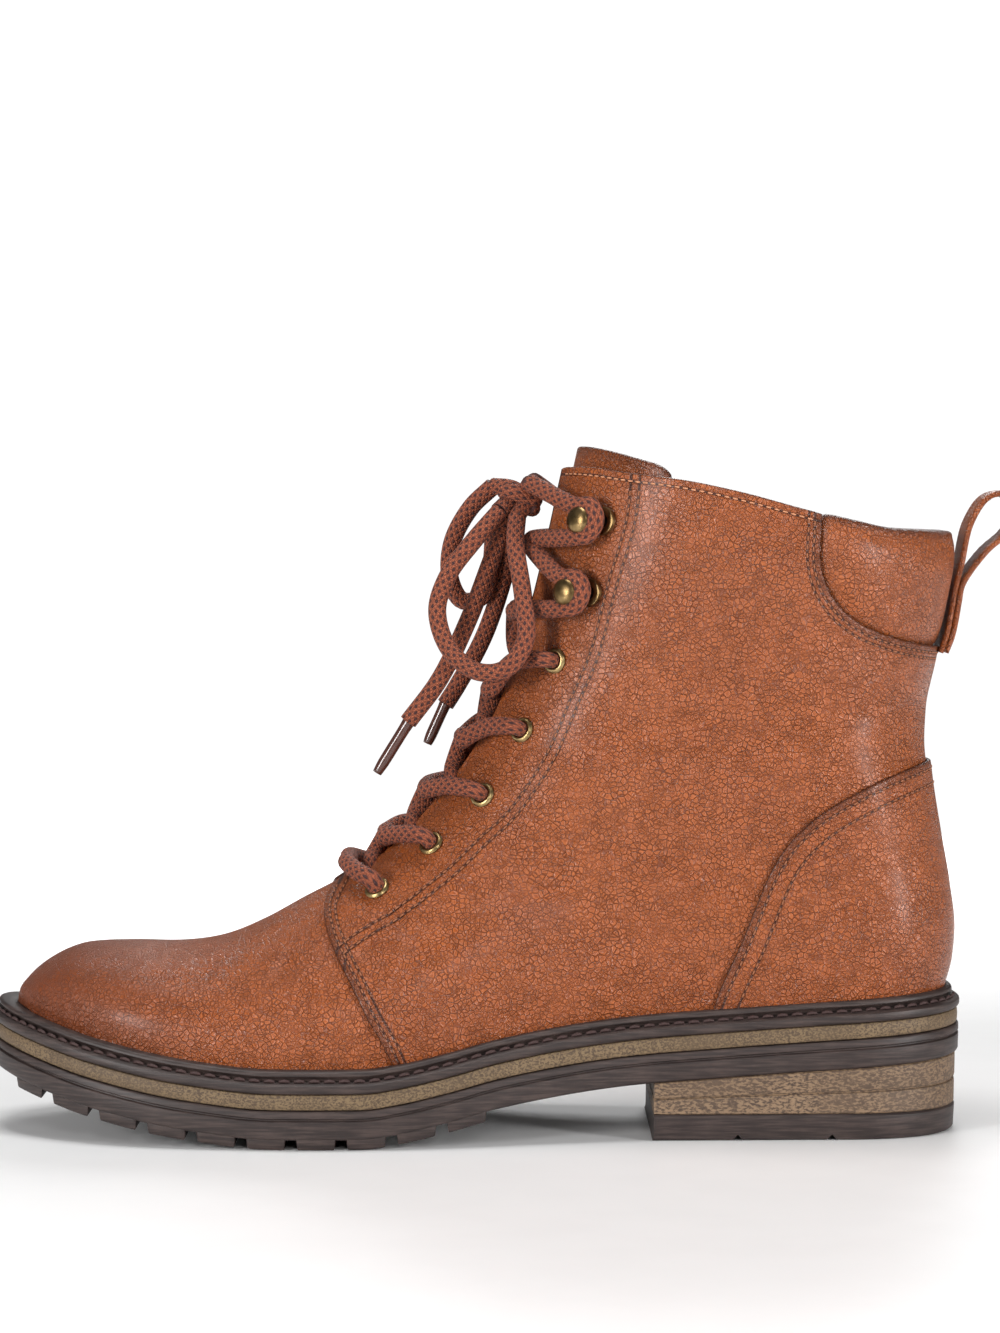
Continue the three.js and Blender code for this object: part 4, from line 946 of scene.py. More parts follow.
def glossy_tip():
    f = Finish("lace_tip_film")
    place = f.place()
    colour = f.blend(f.noise(place, 500.0), srgb(52, 28, 22), srgb(84, 48, 38))
    f.bump(f.noise(place, 900.0), 0.0001, 0.3)
    return f.finish(Base_Color=colour, Roughness=0.25, Coat_Weight=0.4, Coat_Roughness=0.12)


def sewing_thread(name, light, dark):
    f = Finish(name)
    colour = f.blend(f.noise(f.place(), 1800.0), light, dark)
    f.bump(f.noise(f.place(), 3500.0), 0.0001, 0.4)
    return f.finish(Base_Color=colour, Roughness=0.7)


def pale_floor():
    """White floor that glows towards its rim, so that its end can't be seen."""
    f = Finish("studio_floor")
    place = f.place()
    grain = f.noise(place, 40.0, 3.0)
    colour = f.blend(f.ramp(grain, 0.3, 0.7), srgb(246, 246, 246), srgb(248, 248, 248))
    away = f.node("ShaderNodeVectorMath", {"operation": "LENGTH"})
    f.set(away.inputs[0], place)
    glow = f.ramp(away.outputs["Value"], 0.18, 0.8, 0.0, 1.0)
    f.set(f.shader.inputs["Emission Strength"], glow)
    return f.finish(Base_Color=colour, Roughness=0.35, Specular_IOR_Level=0.3, Emission_Color=(1.0, 1.0, 1.0))


# Lacing: where the metal sits, and how the strands run, in shares and millimetres
EYELETS = [(0.4023, 0.371), (0.457, 0.438), (0.509, 0.511), (0.549, 0.6085), (0.582, 0.7125)]
HOOKS = [(0.606, 0.813), (0.6205, 0.919)]
LACE_ROWS = [0.395, 0.437, 0.51, 0.586, 0.663]
LACE_LOW = -0.7
LACE_HIGH = 1.8
LACE_EDGE = 1.7
HOOK_ROW_UNDER, HOOK_ROW_FIRST, HOOK_ROW_SECOND = 0.735, 0.775, 0.88
LACE_DIAMETER = 5.2
LACE_RADIUS = LACE_DIAMETER / 2
AGLET_DIAMETER = 3.4

# The bow's points, in millimetres
KNOT_CENTRE = (-83, -7.5, 181.5)
KNOT_ENTRIES = {LATERAL: (-80, -14.2, 185.8), MEDIAL: (-78.9, -1.4, 186.4)}
NEAR_LOOP = [
    (-83.7, -12, 176.2), (-84.2, -17.5, 168.5), (-82, -25, 153), (-81.6, -29, 141),
    (-86.6, -28.5, 133.6), (-94.8, -25, 132.4), (-103, -20, 138.5), (-106.5, -17, 149.5),
    (-103.4, -15.5, 159.5), (-96.4, -14, 169), (-88.5, -11.4, 178),
]
FAR_LOOP = [
    (-90.6, -5.2, 185), (-97.2, -2.4, 178.6), (-102.5, 0.6, 168.5), (-103, 4, 158),
    (-99.5, 6, 151.8), (-93.8, 6, 153), (-91.2, 3.6, 162), (-90.4, 0.6, 171), (-89.2, -1.7, 177.8),
]
NEAR_END = [(-86.5, -7.9, 175.6), (-91, -8.4, 164), (-97.5, -9, 147), (-106, -9, 129.5), (-115, -8, 117.3)]
FAR_END = [(-83.8, -2.8, 176.4), (-86.2, 5.6, 163), (-93, 10, 142), (-101, 9, 127), (-104.5, 8, 121.5)]
NEAR_TIP = [(-114.4, -8.1, 118), (-124, -7.5, 102.5)]
FAR_TIP = [(-104.3, 8, 122.2), (-109.8, 8, 110)]


def spot_on(shares, sign):
    return surface_at(to_x(shares[0]), to_z(shares[1]), sign)


def over_ridge(up, y, height):
    """A point over the ridge: how far up it lies, sideways, and its height over the ridge."""
    z = to_z(up)
    run = unit(np.array([ridge_x(z + 2) - ridge_x(z - 2), 4.0]))
    return np.array([ridge_x(z) - run[1] * height, y, z + run[0] * height])


def lace_strand(row, sign, height):
    """From inside an eyelet, out over the facing and the ridge to the far facing's underside."""
    spot, out = spot_on(EYELETS[row], sign)
    start = METAL_LIFT + 0.7 + GAP
    ridge = over_ridge(LACE_ROWS[row], 0, height)
    facing, facing_out = surface_at(mix(spot[0], ridge[0], 0.45), mix(spot[2], ridge[2], 0.2), sign)
    edge = over_ridge(LACE_ROWS[row], sign * 0.55 * THROAT_GAP, LACE_EDGE + (0.6 if row == 0 else 0))
    points = [
        spot - out * 1.6,
        spot + out * start,
        spot + out * (start + 2.2),
        facing + facing_out * (LACE_RADIUS + 1.9),
        edge,
        ridge,
    ]
    if row > 0:
        for share, across, drop in ((0.5, 0.26, 0), (0.62, 0.5, 1.6), (0.7, 0.62, 3.4)):
            under = mix(LACE_ROWS[row], LACE_ROWS[row - 1], share)
            points.append(over_ridge(under, -sign * across * THROAT_GAP, LACE_LOW - drop))
    return points


def round_hook(hook, sign):
    """Round the neck of a hook, behind it: below, behind and above."""
    spot, out = spot_on(HOOKS[hook], sign)
    height = METAL_LIFT + 0.9 + GAP + LACE_RADIUS + 0.25
    reach = HOOK_NECK / 2 + GAP + LACE_RADIUS + 0.5
    back = unit(np.array([1, 0, 0]) - out * out[0])
    rise = unit(np.array([0, 0, 1]) - out * out[2])
    turns = [(-0.55, -0.95), (0.55, -0.85), (1.02, 0), (0.55, 0.85), (-0.55, 0.95)]
    return [spot + out * height + back * along * reach + rise * up * reach for along, up in turns]


def hook_strand(sign):
    """One lace end from under a facing, round both pairs of hooks, to the knot."""
    high = sign == LATERAL
    edge = sign * 0.6 * THROAT_GAP
    return [
        over_ridge(HOOK_ROW_UNDER - 0.012, -sign * 0.58 * THROAT_GAP, LACE_LOW - 3),
        over_ridge(HOOK_ROW_UNDER, -sign * 0.26 * THROAT_GAP, LACE_LOW),
        over_ridge(HOOK_ROW_FIRST, 0, LACE_HIGH if high else LACE_LOW),
        over_ridge(HOOK_ROW_FIRST + 0.01, edge, LACE_EDGE),
        *round_hook(0, sign),
        over_ridge(HOOK_ROW_SECOND, edge, LACE_EDGE + 0.6),
        over_ridge(HOOK_ROW_SECOND, 0, (LACE_LOW if high else LACE_HIGH) + 0.4),
        over_ridge(HOOK_ROW_SECOND + 0.01, -edge, LACE_EDGE + 0.6),
        *round_hook(1, -sign),
        KNOT_ENTRIES[MEDIAL if high else LATERAL],
    ]


def knot_strands():
    """The lines of a bow's knot: strands drawn through its middle and a turn round them."""
    centre = np.array(KNOT_CENTRE, float)
    through = [
        [NEAR_LOOP[0], centre + (1.6, -2.4, -0.6), centre + (-1.6, -2.2, 2.6), FAR_LOOP[0]],
        [NEAR_LOOP[-1], centre + (-2.2, -0.8, -0.6), centre + (-2.6, 1.8, -0.4), FAR_LOOP[-1]],
        [KNOT_ENTRIES[LATERAL], centre + (1.4, -1.4, 1.6), centre + (-0.6, 0.4, -1.4), NEAR_END[0]],
        [KNOT_ENTRIES[MEDIAL], centre + (2.2, 1.8, 1.2), centre + (1.0, 2.2, -1.6), FAR_END[0]],
    ]
    axis = unit(np.array([-0.42, -0.1, -0.9]))
    across = unit(np.cross(axis, [0, 1, 0]))
    third = np.cross(axis, across)
    turns = np.linspace(0.3, 2 * np.pi * 1.12, 16)
    wrap = [
        centre + 4.5 * (math.cos(t) * across + math.sin(t) * third) + axis * (2.4 * (t / (2 * np.pi) - 0.55))
        for t in turns
    ]
    return [*through, wrap]


# Sole pieces


def station_at(along):
    return np.arccos(1 - 2 * along) / np.pi


def sole_ring(height, inset, start, count):
    shares = np.linspace(start, 1, count + 1)
    sides = [np.stack(edge_point(shares, sign, inset), axis=-1) for sign in (LATERAL, MEDIAL)]
    plan = np.vstack([sides[0], sides[1][::-1]])
    return np.column_stack([plan, height(plan[:, 0])])


def sole_piece(name, levels, material, start=0.0, count=150):
    """A layer of the sole as a loft of outlines, from bottom to top."""
    rings = [sole_ring(height, inset, start, count) for height, inset in levels]
    size = len(rings[0])
    faces = ring_quads(len(rings), size)
    top = (len(rings) - 1) * size
    for i in range(count):
        faces.append((i, size - 1 - i, size - 2 - i, i + 1))
        faces.append((top + i, top + i + 1, top + size - 2 - i, top + size - 1 - i))
    piece = turn_outward(new_piece(name, np.vstack(rings), faces, material))
    bpy.ops.object.shade_smooth_by_angle(angle=math.radians(38))
    return piece


def between(low, high):
    """Height lines at shares between two surfaces of the sole."""
    return lambda share: lambda x: mix(low(x), high(x), share)


LUG_FROM, LUG_TO = 0.035, 0.52


def lug_blocks(material):
    """The forepart's lugs: slots across at a pitch, and a channel down the middle."""
    first = to_x(LUG_FROM) + 0.7 * LUG_PITCH
    count = int((to_x(LUG_TO) - first) // LUG_PITCH)
    slots = [first + i * LUG_PITCH for i in range(count + 1)]
    starts = [to_x(LUG_FROM), *[x + LUG_SLOT / 2 for x in slots]]
    ends = [*[x - LUG_SLOT / 2 for x in slots], to_x(LUG_TO)]
    blocks = []
    for i, (x0, x1) in enumerate(zip(starts, ends)):
        if x1 - x0 < LUG_PITCH / 4:
            continue
        for sign in (LATERAL, MEDIAL):
            rings = []
            for height, inset, draw in ((lug_bottom, 2.0, 0.35), (outsole_bottom, 1.0, 0.0)):
                low, high = x0 + draw, x1 - draw
                run = np.linspace(low, high, 9)
                along = (run - TOE_TIP - inset) / (BOOT_LENGTH - 2 * inset)
                share = station_at(np.clip(along, 0, 1))
                x, y = edge_point(share, sign, inset)
                channel = sign * (LUG_CHANNEL / 2 + 1.5 * (draw > 0)) + centre_y(run[[-1, 0]])
                plan = np.column_stack([np.append(x, run[[-1, 0]]), np.append(y, channel)])
                z = height(plan[:, 0]) + (0.4 if draw == 0 else 0)
                rings.append(np.column_stack([plan, z]))
            size = len(rings[0])
            faces = [*ring_quads(2, size), tuple(range(size)), tuple(range(2 * size - 1, size - 1, -1))]
            blocks.append(turn_outward(new_piece(f"lug_{i}_{sign}", np.vstack(rings), faces, material)))
    return blocks


def bevelled(piece, width, segments=2, angle=40):
    """Rounds a piece's sharp edges for good."""
    select_only(piece)
    bevel = piece.modifiers.new("edges", "BEVEL")
    bevel.width = width * MM
    bevel.segments = segments
    bevel.limit_method = "ANGLE"
    bevel.angle_limit = math.radians(angle)
    bpy.ops.object.modifier_apply(modifier=bevel.name)
    bpy.ops.object.shade_smooth_by_angle(angle=math.radians(50))
    return piece


# Turned metal parts and stitches


def turned(name, profile, steps, material):
    """A part spun round the Z axis from its half section."""
    edges = [(i, i + 1) for i in range(len(profile) - 1)]
    mesh = bpy.data.meshes.new(name)
    mesh.from_pydata([(r * MM, 0, z * MM) for r, z in profile], edges, [])
    mesh.materials.append(material)
    piece = linked_object(name, mesh)
    select_only(piece)
    bpy.ops.object.mode_set(mode="EDIT")
    bpy.ops.mesh.select_all(action="SELECT")
    bpy.ops.mesh.spin(steps=steps, angle=2 * math.pi, center=(0, 0, 0), axis=(0, 0, 1))
    bpy.ops.object.mode_set(mode="OBJECT")
    turn_outward(piece)
    bpy.ops.object.shade_smooth_by_angle(angle=math.radians(45))
    return piece


def surface_turn(point, out):
    """The place of a part that is made along +Z: outwards on the leather, +X towards the heel."""
    back = unit(np.array([1, 0, 0]) - out * out[0])
    side = np.cross(out, back)
    turn = Matrix.Identity(4)
    for column, axis in enumerate((back, side, out)):
        for row in range(3):
            turn[row][column] = axis[row]
    turn.translation = Vector(point) * MM
    return turn


def placed_copy(model, name, turn):
    piece = linked_object(name, model.data.copy())
    piece.data.name = name
    piece.data.transform(turn)
    return piece


# A stitch's stations: share of its length, of its girth, and lift as a share of twice its width
STITCH_STATIONS = [(-0.5, 0.3, -0.3), (-0.4, 0.8, 0.02), (0.0, 1.0, 0.12), (0.4, 0.8, 0.02), (0.5, 0.3, -0.3)]
STITCH_SIDES = 6


def stitch_row(line, outs, length, pitch, width):
    """Points and faces of short sunk-ended stitches along a line on the leather."""
    count = int(path_length(line) / pitch)
    places = (np.arange(count) + 0.5) * pitch
    run = running_length(line)

    def read(values, shift=0.0):
        return np.column_stack([np.interp(places + shift, run, axis) for axis in values.T])

    centres, up = read(line), read(outs)
    along = unit(read(line, 0.5) - read(line, -0.5))
    up = unit(up - along * (up * along).sum(axis=1, keepdims=True))
    side = np.cross(up, along)
    turns = 2 * np.pi * np.arange(STITCH_SIDES)[:, None] / STITCH_SIDES
    rings = len(STITCH_STATIONS)
    shell = [(a, d, c, b) for a, b, c, d in ring_quads(rings, STITCH_SIDES)]
    shell += [range(STITCH_SIDES), range(rings * STITCH_SIDES - 1, (rings - 1) * STITCH_SIDES - 1, -1)]
    points, faces = [], []
    for c, a, u, s in zip(centres, along, up, side):
        base = len(points) * STITCH_SIDES
        for share, girth, lift in STITCH_STATIONS:
            middle = c + a * share * length + u * (lift * width * 2)
            points.append(middle + 0.5 * width * girth * (np.cos(turns) * s + np.sin(turns) * u))
        faces += [tuple(base + i for i in face) for face in shell]
    return np.vstack(points), faces


def stitches(name, rows, material, length=1.6, pitch=2.4, width=0.52):
    """Many stitch rows as one mesh."""
    points, faces, total = [], [], 0
    for line, outs in rows:
        more, ring = stitch_row(line, outs, length, pitch, width)
        points.append(more)
        faces += [tuple(i + total for i in face) for face in ring]
        total += len(more)
    return new_piece(name, np.vstack(points), faces, material)


def shifted(line, distance):
    """A side-view line moved sideways, towards the right of its run."""
    run = unit(np.gradient(line, axis=0))
    return line + distance * np.column_stack([run[:, 1], -run[:, 0]])


# Rows of stitches: their distances from a panel's edge, the facing's line, the collar and the counter's edge
PANEL_ROWS = (1.4, 3.1)
FACING_ROWS = (0.0, 2.4)
COLLAR_ROW = 1.7
COUNTER_ROWS = (1.7, 6.0)


def side_line(shares):
    points = np.array(shares, float)
    return even_path(smooth_path(np.column_stack([to_x(points[:, 0]), to_z(points[:, 1])]), 10), 160)


def row_on_form(line, sign, lift):
    """A side-view line laid on the upper's surface."""
    x, z = line.T
    wide = half_width(x, z, sign)
    inside = (z > welt_top(x) + 0.8) & (z < collar_z(x) - 1.2) & (wide > 1.5)
    inside &= (x > to_x(0.7)) | (wide > THROAT_GAP / 2 + 1.8)
    point, out = surface_at(x[inside], z[inside], sign)
    return point + out * lift, out


class BootSizes(bpy.types.PropertyGroup):
    """Sizes that a maker would change without touching the last."""

    stitch_length: bpy.props.FloatProperty(
        name="Stitch length",
        description="Length of one stitch on the upper",
        default=0.0016,
        unit="LENGTH",
    )
    stitch_pitch: bpy.props.FloatProperty(
        name="Stitch pitch",
        description="Spacing of the stitches on the upper",
        default=0.0024,
        unit="LENGTH",
    )
    welt_pitch: bpy.props.FloatProperty(
        name="Welt stitch pitch",
        description="Spacing of the stitches round the welt",
        default=0.0042,
        unit="LENGTH",
    )
    leather_thickness: bpy.props.FloatProperty(
        name="Leather thickness",
        description="Thickness of the quarters' leather",
        default=0.0013,
        unit="LENGTH",
    )
    pad_fill: bpy.props.FloatProperty(
        name="Collar fill",
        description="How full the collar pad is, from 0 to 1",
        default=0.6,
        subtype="FACTOR",
    )


class BootColours(bpy.types.PropertyGroup):
    """Colours of the boot's finishes."""

    leather_light: bpy.props.FloatVectorProperty(
        name="Leather, light",
        description="The upper leather where it is palest",
        default=srgb(150, 75, 29),
        subtype="COLOR",
    )
    leather_dark: bpy.props.FloatVectorProperty(
        name="Leather, dark",
        description="The upper leather where it is darkest",
        default=srgb(124, 58, 22),
        subtype="COLOR",
    )
    # Also the colour of the painted shade along the stitch rows.
    leather_crack_and_shade: bpy.props.FloatVectorProperty(
        name="Leather, specks",
        description="Dark specks and burnished edges",
        default=srgb(62, 27, 12),
        subtype="COLOR",
    )
    leather_vein: bpy.props.FloatVectorProperty(
        name="Leather, veins",
        description="The pale net of the grain",
        default=srgb(182, 104, 56),
        subtype="COLOR",
    )
    thread: bpy.props.FloatVectorProperty(
        name="Thread",
        description="Sewing thread of the upper",
        default=srgb(166, 104, 68),
        subtype="COLOR",
    )


class Workshop:
    """Materials, made once and used by the operators."""

    finishes = {}

    @classmethod
    def finish(cls, name):
        if name not in cls.finishes:
            colours = bpy.context.scene.boot_colours
            light, dark, crack_and_shade, vein = (
                tuple(getattr(colours, f"leather_{key}")) for key in ("light", "dark", "crack_and_shade", "vein")
            )
            rows = {
                "vamp_leather": (),
                "quarter_leather": (
                    *(("edge", distance) for distance in PANEL_ROWS),
                    *(("facing", distance) for distance in FACING_ROWS),
                    ("top", COLLAR_ROW),
                ),
                "counter_leather": tuple(("edge", distance) for distance in COUNTER_ROWS),
                "pad_leather": (),
                "tongue_leather": (),
            }
            makers = {
                "lining": lining_cloth,
                "rubber": dark_rubber,
                "stack": lambda: stacked_tan(
                    "heel_speckle", (760.0, 760.0, 1700.0), srgb(132, 108, 84), srgb(66, 52, 44)
                ),
                "midsole": lambda: stacked_tan(
                    "midsole_speckle", (1500.0, 1500.0, 2000.0), srgb(118, 98, 72), srgb(72, 57, 44)
                ),
                "brass": lambda: aged_brass("polished_brass", srgb(134, 112, 74), srgb(176, 152, 108)),
                "old_brass": lambda: aged_brass("aged_brass", srgb(104, 84, 54), srgb(146, 122, 84)),
                "shade_in_hole": painted_hole_shade,
                "lace": woven_lace,
                "tip": glossy_tip,
                "thread": lambda: sewing_thread("upper_thread", tuple(colours.thread), srgb(112, 62, 36)),
                "pale_thread": lambda: sewing_thread(
                    "collar_thread", srgb(206, 146, 108), srgb(166, 104, 70)
                ),
                "welt_thread": lambda: sewing_thread("welt_thread", srgb(66, 40, 38), srgb(42, 28, 26)),
            }
            if name in rows:
                cls.finishes[name] = leather(name, light, dark, crack_and_shade, vein, rows[name])
            else:
                cls.finishes[name] = makers[name]()
        return cls.finishes[name]


finish = Workshop.finish


class BootPiece(bpy.types.Operator):
    """Shared by the boot's operators."""

    bl_options = {"REGISTER", "UNDO"}

    @classmethod
    def poll(cls, context):
        return context.mode == "OBJECT"


class BOOT_OT_camera(BootPiece):
    """Sets the camera where the photograph was taken from"""

    bl_idname = "boot.camera"
    bl_label = "Camera"

    DISTANCE, SIDEWAYS, HEIGHT = 1.1, -0.0886, 0.178
    TILT = math.radians(2.35)
    LENS = 102.66

    def execute(self, context):
        data = bpy.data.cameras.new("camera")
        data.lens = self.LENS
        data.sensor_width = 36
        camera = linked_object("camera", data)
        camera.location = (self.SIDEWAYS, -self.DISTANCE, self.HEIGHT)
        camera.rotation_euler = (math.pi / 2 - self.TILT, 0, 0)
        context.scene.camera = camera
        return {"FINISHED"}


class BOOT_OT_bow(BootPiece):
    """Makes the bow's loops and ends, their tips and the knot"""

    bl_idname = "boot.bow"
    bl_label = "Bow"

    def execute(self, context):
        lace = finish("lace")
        for name, points in (("lace_loop_near", NEAR_LOOP), ("lace_loop_far", FAR_LOOP)):
            line = smooth_path(points)
            loop = dress(tube(name + "_cord", line, LACE_RADIUS, lace), "lace_cord", name)
            self.declare(loop, line, "object")
        for side, points, tip in (("near", NEAR_END, NEAR_TIP), ("far", FAR_END, FAR_TIP)):
            line = smooth_path(points)
            end = tube(f"lace_end_{side}_cord", line, LACE_RADIUS, lace)
            dress(end, "lace_cord", f"lace_end_{side}")
            radii = [AGLET_DIAMETER / 2 * share for share in (1.12, 1.02, 1, 1, 1, 0.98, 0.8)]
            aglet = tube(f"lace_tip_{side}_sleeve", smooth_path(tip), radii, finish("tip"), 18, 0.8)
            dress(aglet, "lace_tip", f"lace_tip_{side}")
            self.declare(end, line, "fitting", [aglet])
        turns = [
            tube(f"knot_strand_{i}", smooth_path(points), LACE_RADIUS * 0.94, lace)
            for i, points in enumerate(knot_strands())
        ]
        dress(joined("lace_knot_tied", turns), "lace_cord", "lace_knot")
        return {"FINISHED"}

    def declare(self, cord, line, far_end, pieces=()):
        path = even_path(line, 30) * MM
        path_length(line) * MM


class BOOT_OT_lacing(BootPiece):
    """Runs the lace through the eyelets and round the hooks"""

    bl_idname = "boot.lacing"
    bl_label = "Lacing"

    def execute(self, context):
        lace = finish("lace")
        taper = [0.78, 0.9, 1, 1, 1, 1, 1, 1, 1, 1]
        near, far = (lace_strand(0, sign, LACE_HIGH) for sign in (LATERAL, MEDIAL))
        bar = tube("lace_bar_cord", smooth_path([*near, *far[-2::-1]]), LACE_RADIUS, lace)
        dress(bar, "lace_cord", "lace_bar")
        for row in range(1, 5):
            heights = (LACE_HIGH, LACE_LOW) if row % 2 == 0 else (LACE_LOW, LACE_HIGH)
            strands = [
                tube(
                    f"strand_{row}_{sign}",
                    smooth_path(lace_strand(row, sign, height)),
                    LACE_RADIUS * np.array([*taper, 0.55]),
                    lace,
                )
                for sign, height in zip((LATERAL, MEDIAL), heights)
            ]
            dress(joined(f"lace_cross_{row}_cord", strands), "lace_cord", f"lace_crossing_{row}")
        strands = [
            tube(f"hook_strand_{sign}", smooth_path(hook_strand(sign)), LACE_RADIUS, lace)
            for sign in (LATERAL, MEDIAL)
        ]
        dress(joined("lace_hooks_cord", strands), "lace_cord", "lace_over_hooks")
        return {"FINISHED"}


# Creases: middle along and up, turn in degrees, half reach and half width in millimetres, depth
CREASES = [
    (0.425, 0.33, -38, 13, 1.9, -0.5), (0.415, 0.305, -34, 12, 1.7, 0.35),
    (0.44, 0.36, -42, 12, 1.8, -0.4), (0.405, 0.275, -28, 10, 1.8, -0.35),
    (0.31, 0.27, 62, 9, 2.6, -0.5), (0.292, 0.262, 60, 8, 2.4, 0.3),
    (0.74, 0.6, -12, 26, 4.0, -0.6), (0.86, 0.62, 16, 20, 3.6, -0.7),
    (0.83, 0.68, 10, 22, 4.0, 0.4), (0.62, 0.55, -30, 16, 3.2, -0.35),
    (0.437, 0.242, 70, 12, 8.5, 1.3), (0.7, 0.8, 70, 24, 12.0, 0.7),
    (0.6, 0.42, 50, 22, 10.0, -0.6),
]


def crease_field():
    """Soft troughs and ridges of wear, in millimetres, over the form."""
    total = np.zeros(SIDE_X.shape)
    for along, up, turn, reach, wide, depth in CREASES:
        dx, dz = SIDE_X - to_x(along), SIDE_Z - to_z(up)
        angle = math.radians(turn)
        run = dx * math.cos(angle) + dz * math.sin(angle)
        across = -dx * math.sin(angle) + dz * math.cos(angle) + 0.02 * run * run / reach * 4
        total += depth * np.exp(-((across / wide) ** 2)) * np.exp(-((run / reach) ** 2))
    return total


def corner_rounded(a, b, radius):
    """The lesser of two edge distances, with the corner between them rounded."""
    gap = np.hypot(np.maximum(radius - a, 0), np.maximum(radius - b, 0))
    return np.where((a < radius) & (b < radius), radius - gap, np.minimum(a, b))


class BOOT_OT_upper(BootPiece):
    """Makes the vamp, the quarters and the lining of the upper"""

    bl_idname = "boot.upper"
    bl_label = "Upper"

    def execute(self, context):
        sizes = context.scene.boot_sizes
        wall = sizes.leather_thickness / MM
        creases = crease_field()
        no_edge = np.full(SIDE_X.shape, 50.0)
        vamp_field = np.minimum(14 - IN_QUARTER, np.where(SIDE_Z < to_z(0.45), 9.0, -9.0))
        skin = finish("vamp_leather")
        vamp = panel("upper_vamp", vamp_field, creases - VAMP_STEP, 1.2, 0.4, skin, {"edge": no_edge})
        dress(vamp, "upper_leather", "upper")
        quarter_field = np.minimum(corner_rounded(IN_QUARTER, BESIDE_THROAT, 3.0), -IN_PAD)
        facing = inside_distance(FACING_OUTLINE)
        marks = {"edge": np.minimum(IN_QUARTER, -IN_PAD), "facing": facing, "top": UNDER_COLLAR}
        skin = finish("quarter_leather")
        quarters = panel("upper_quarters", quarter_field, creases, wall, 0.55, skin, marks)
        dress(quarters, "upper_leather")
        depth = 1.5 + 1.2 * smooth(-IN_QUARTER, -3, 2) + 3.9 * smooth(IN_PAD, -1, 6)
        lining_field = np.minimum(BESIDE_THROAT - 0.7, UNDER_COLLAR - 0.6)
        lining = panel("upper_lining", lining_field, -depth, 1.0, 0.3, finish("lining"), {"edge": no_edge})
        dress(lining, "lining")
        return {"FINISHED"}


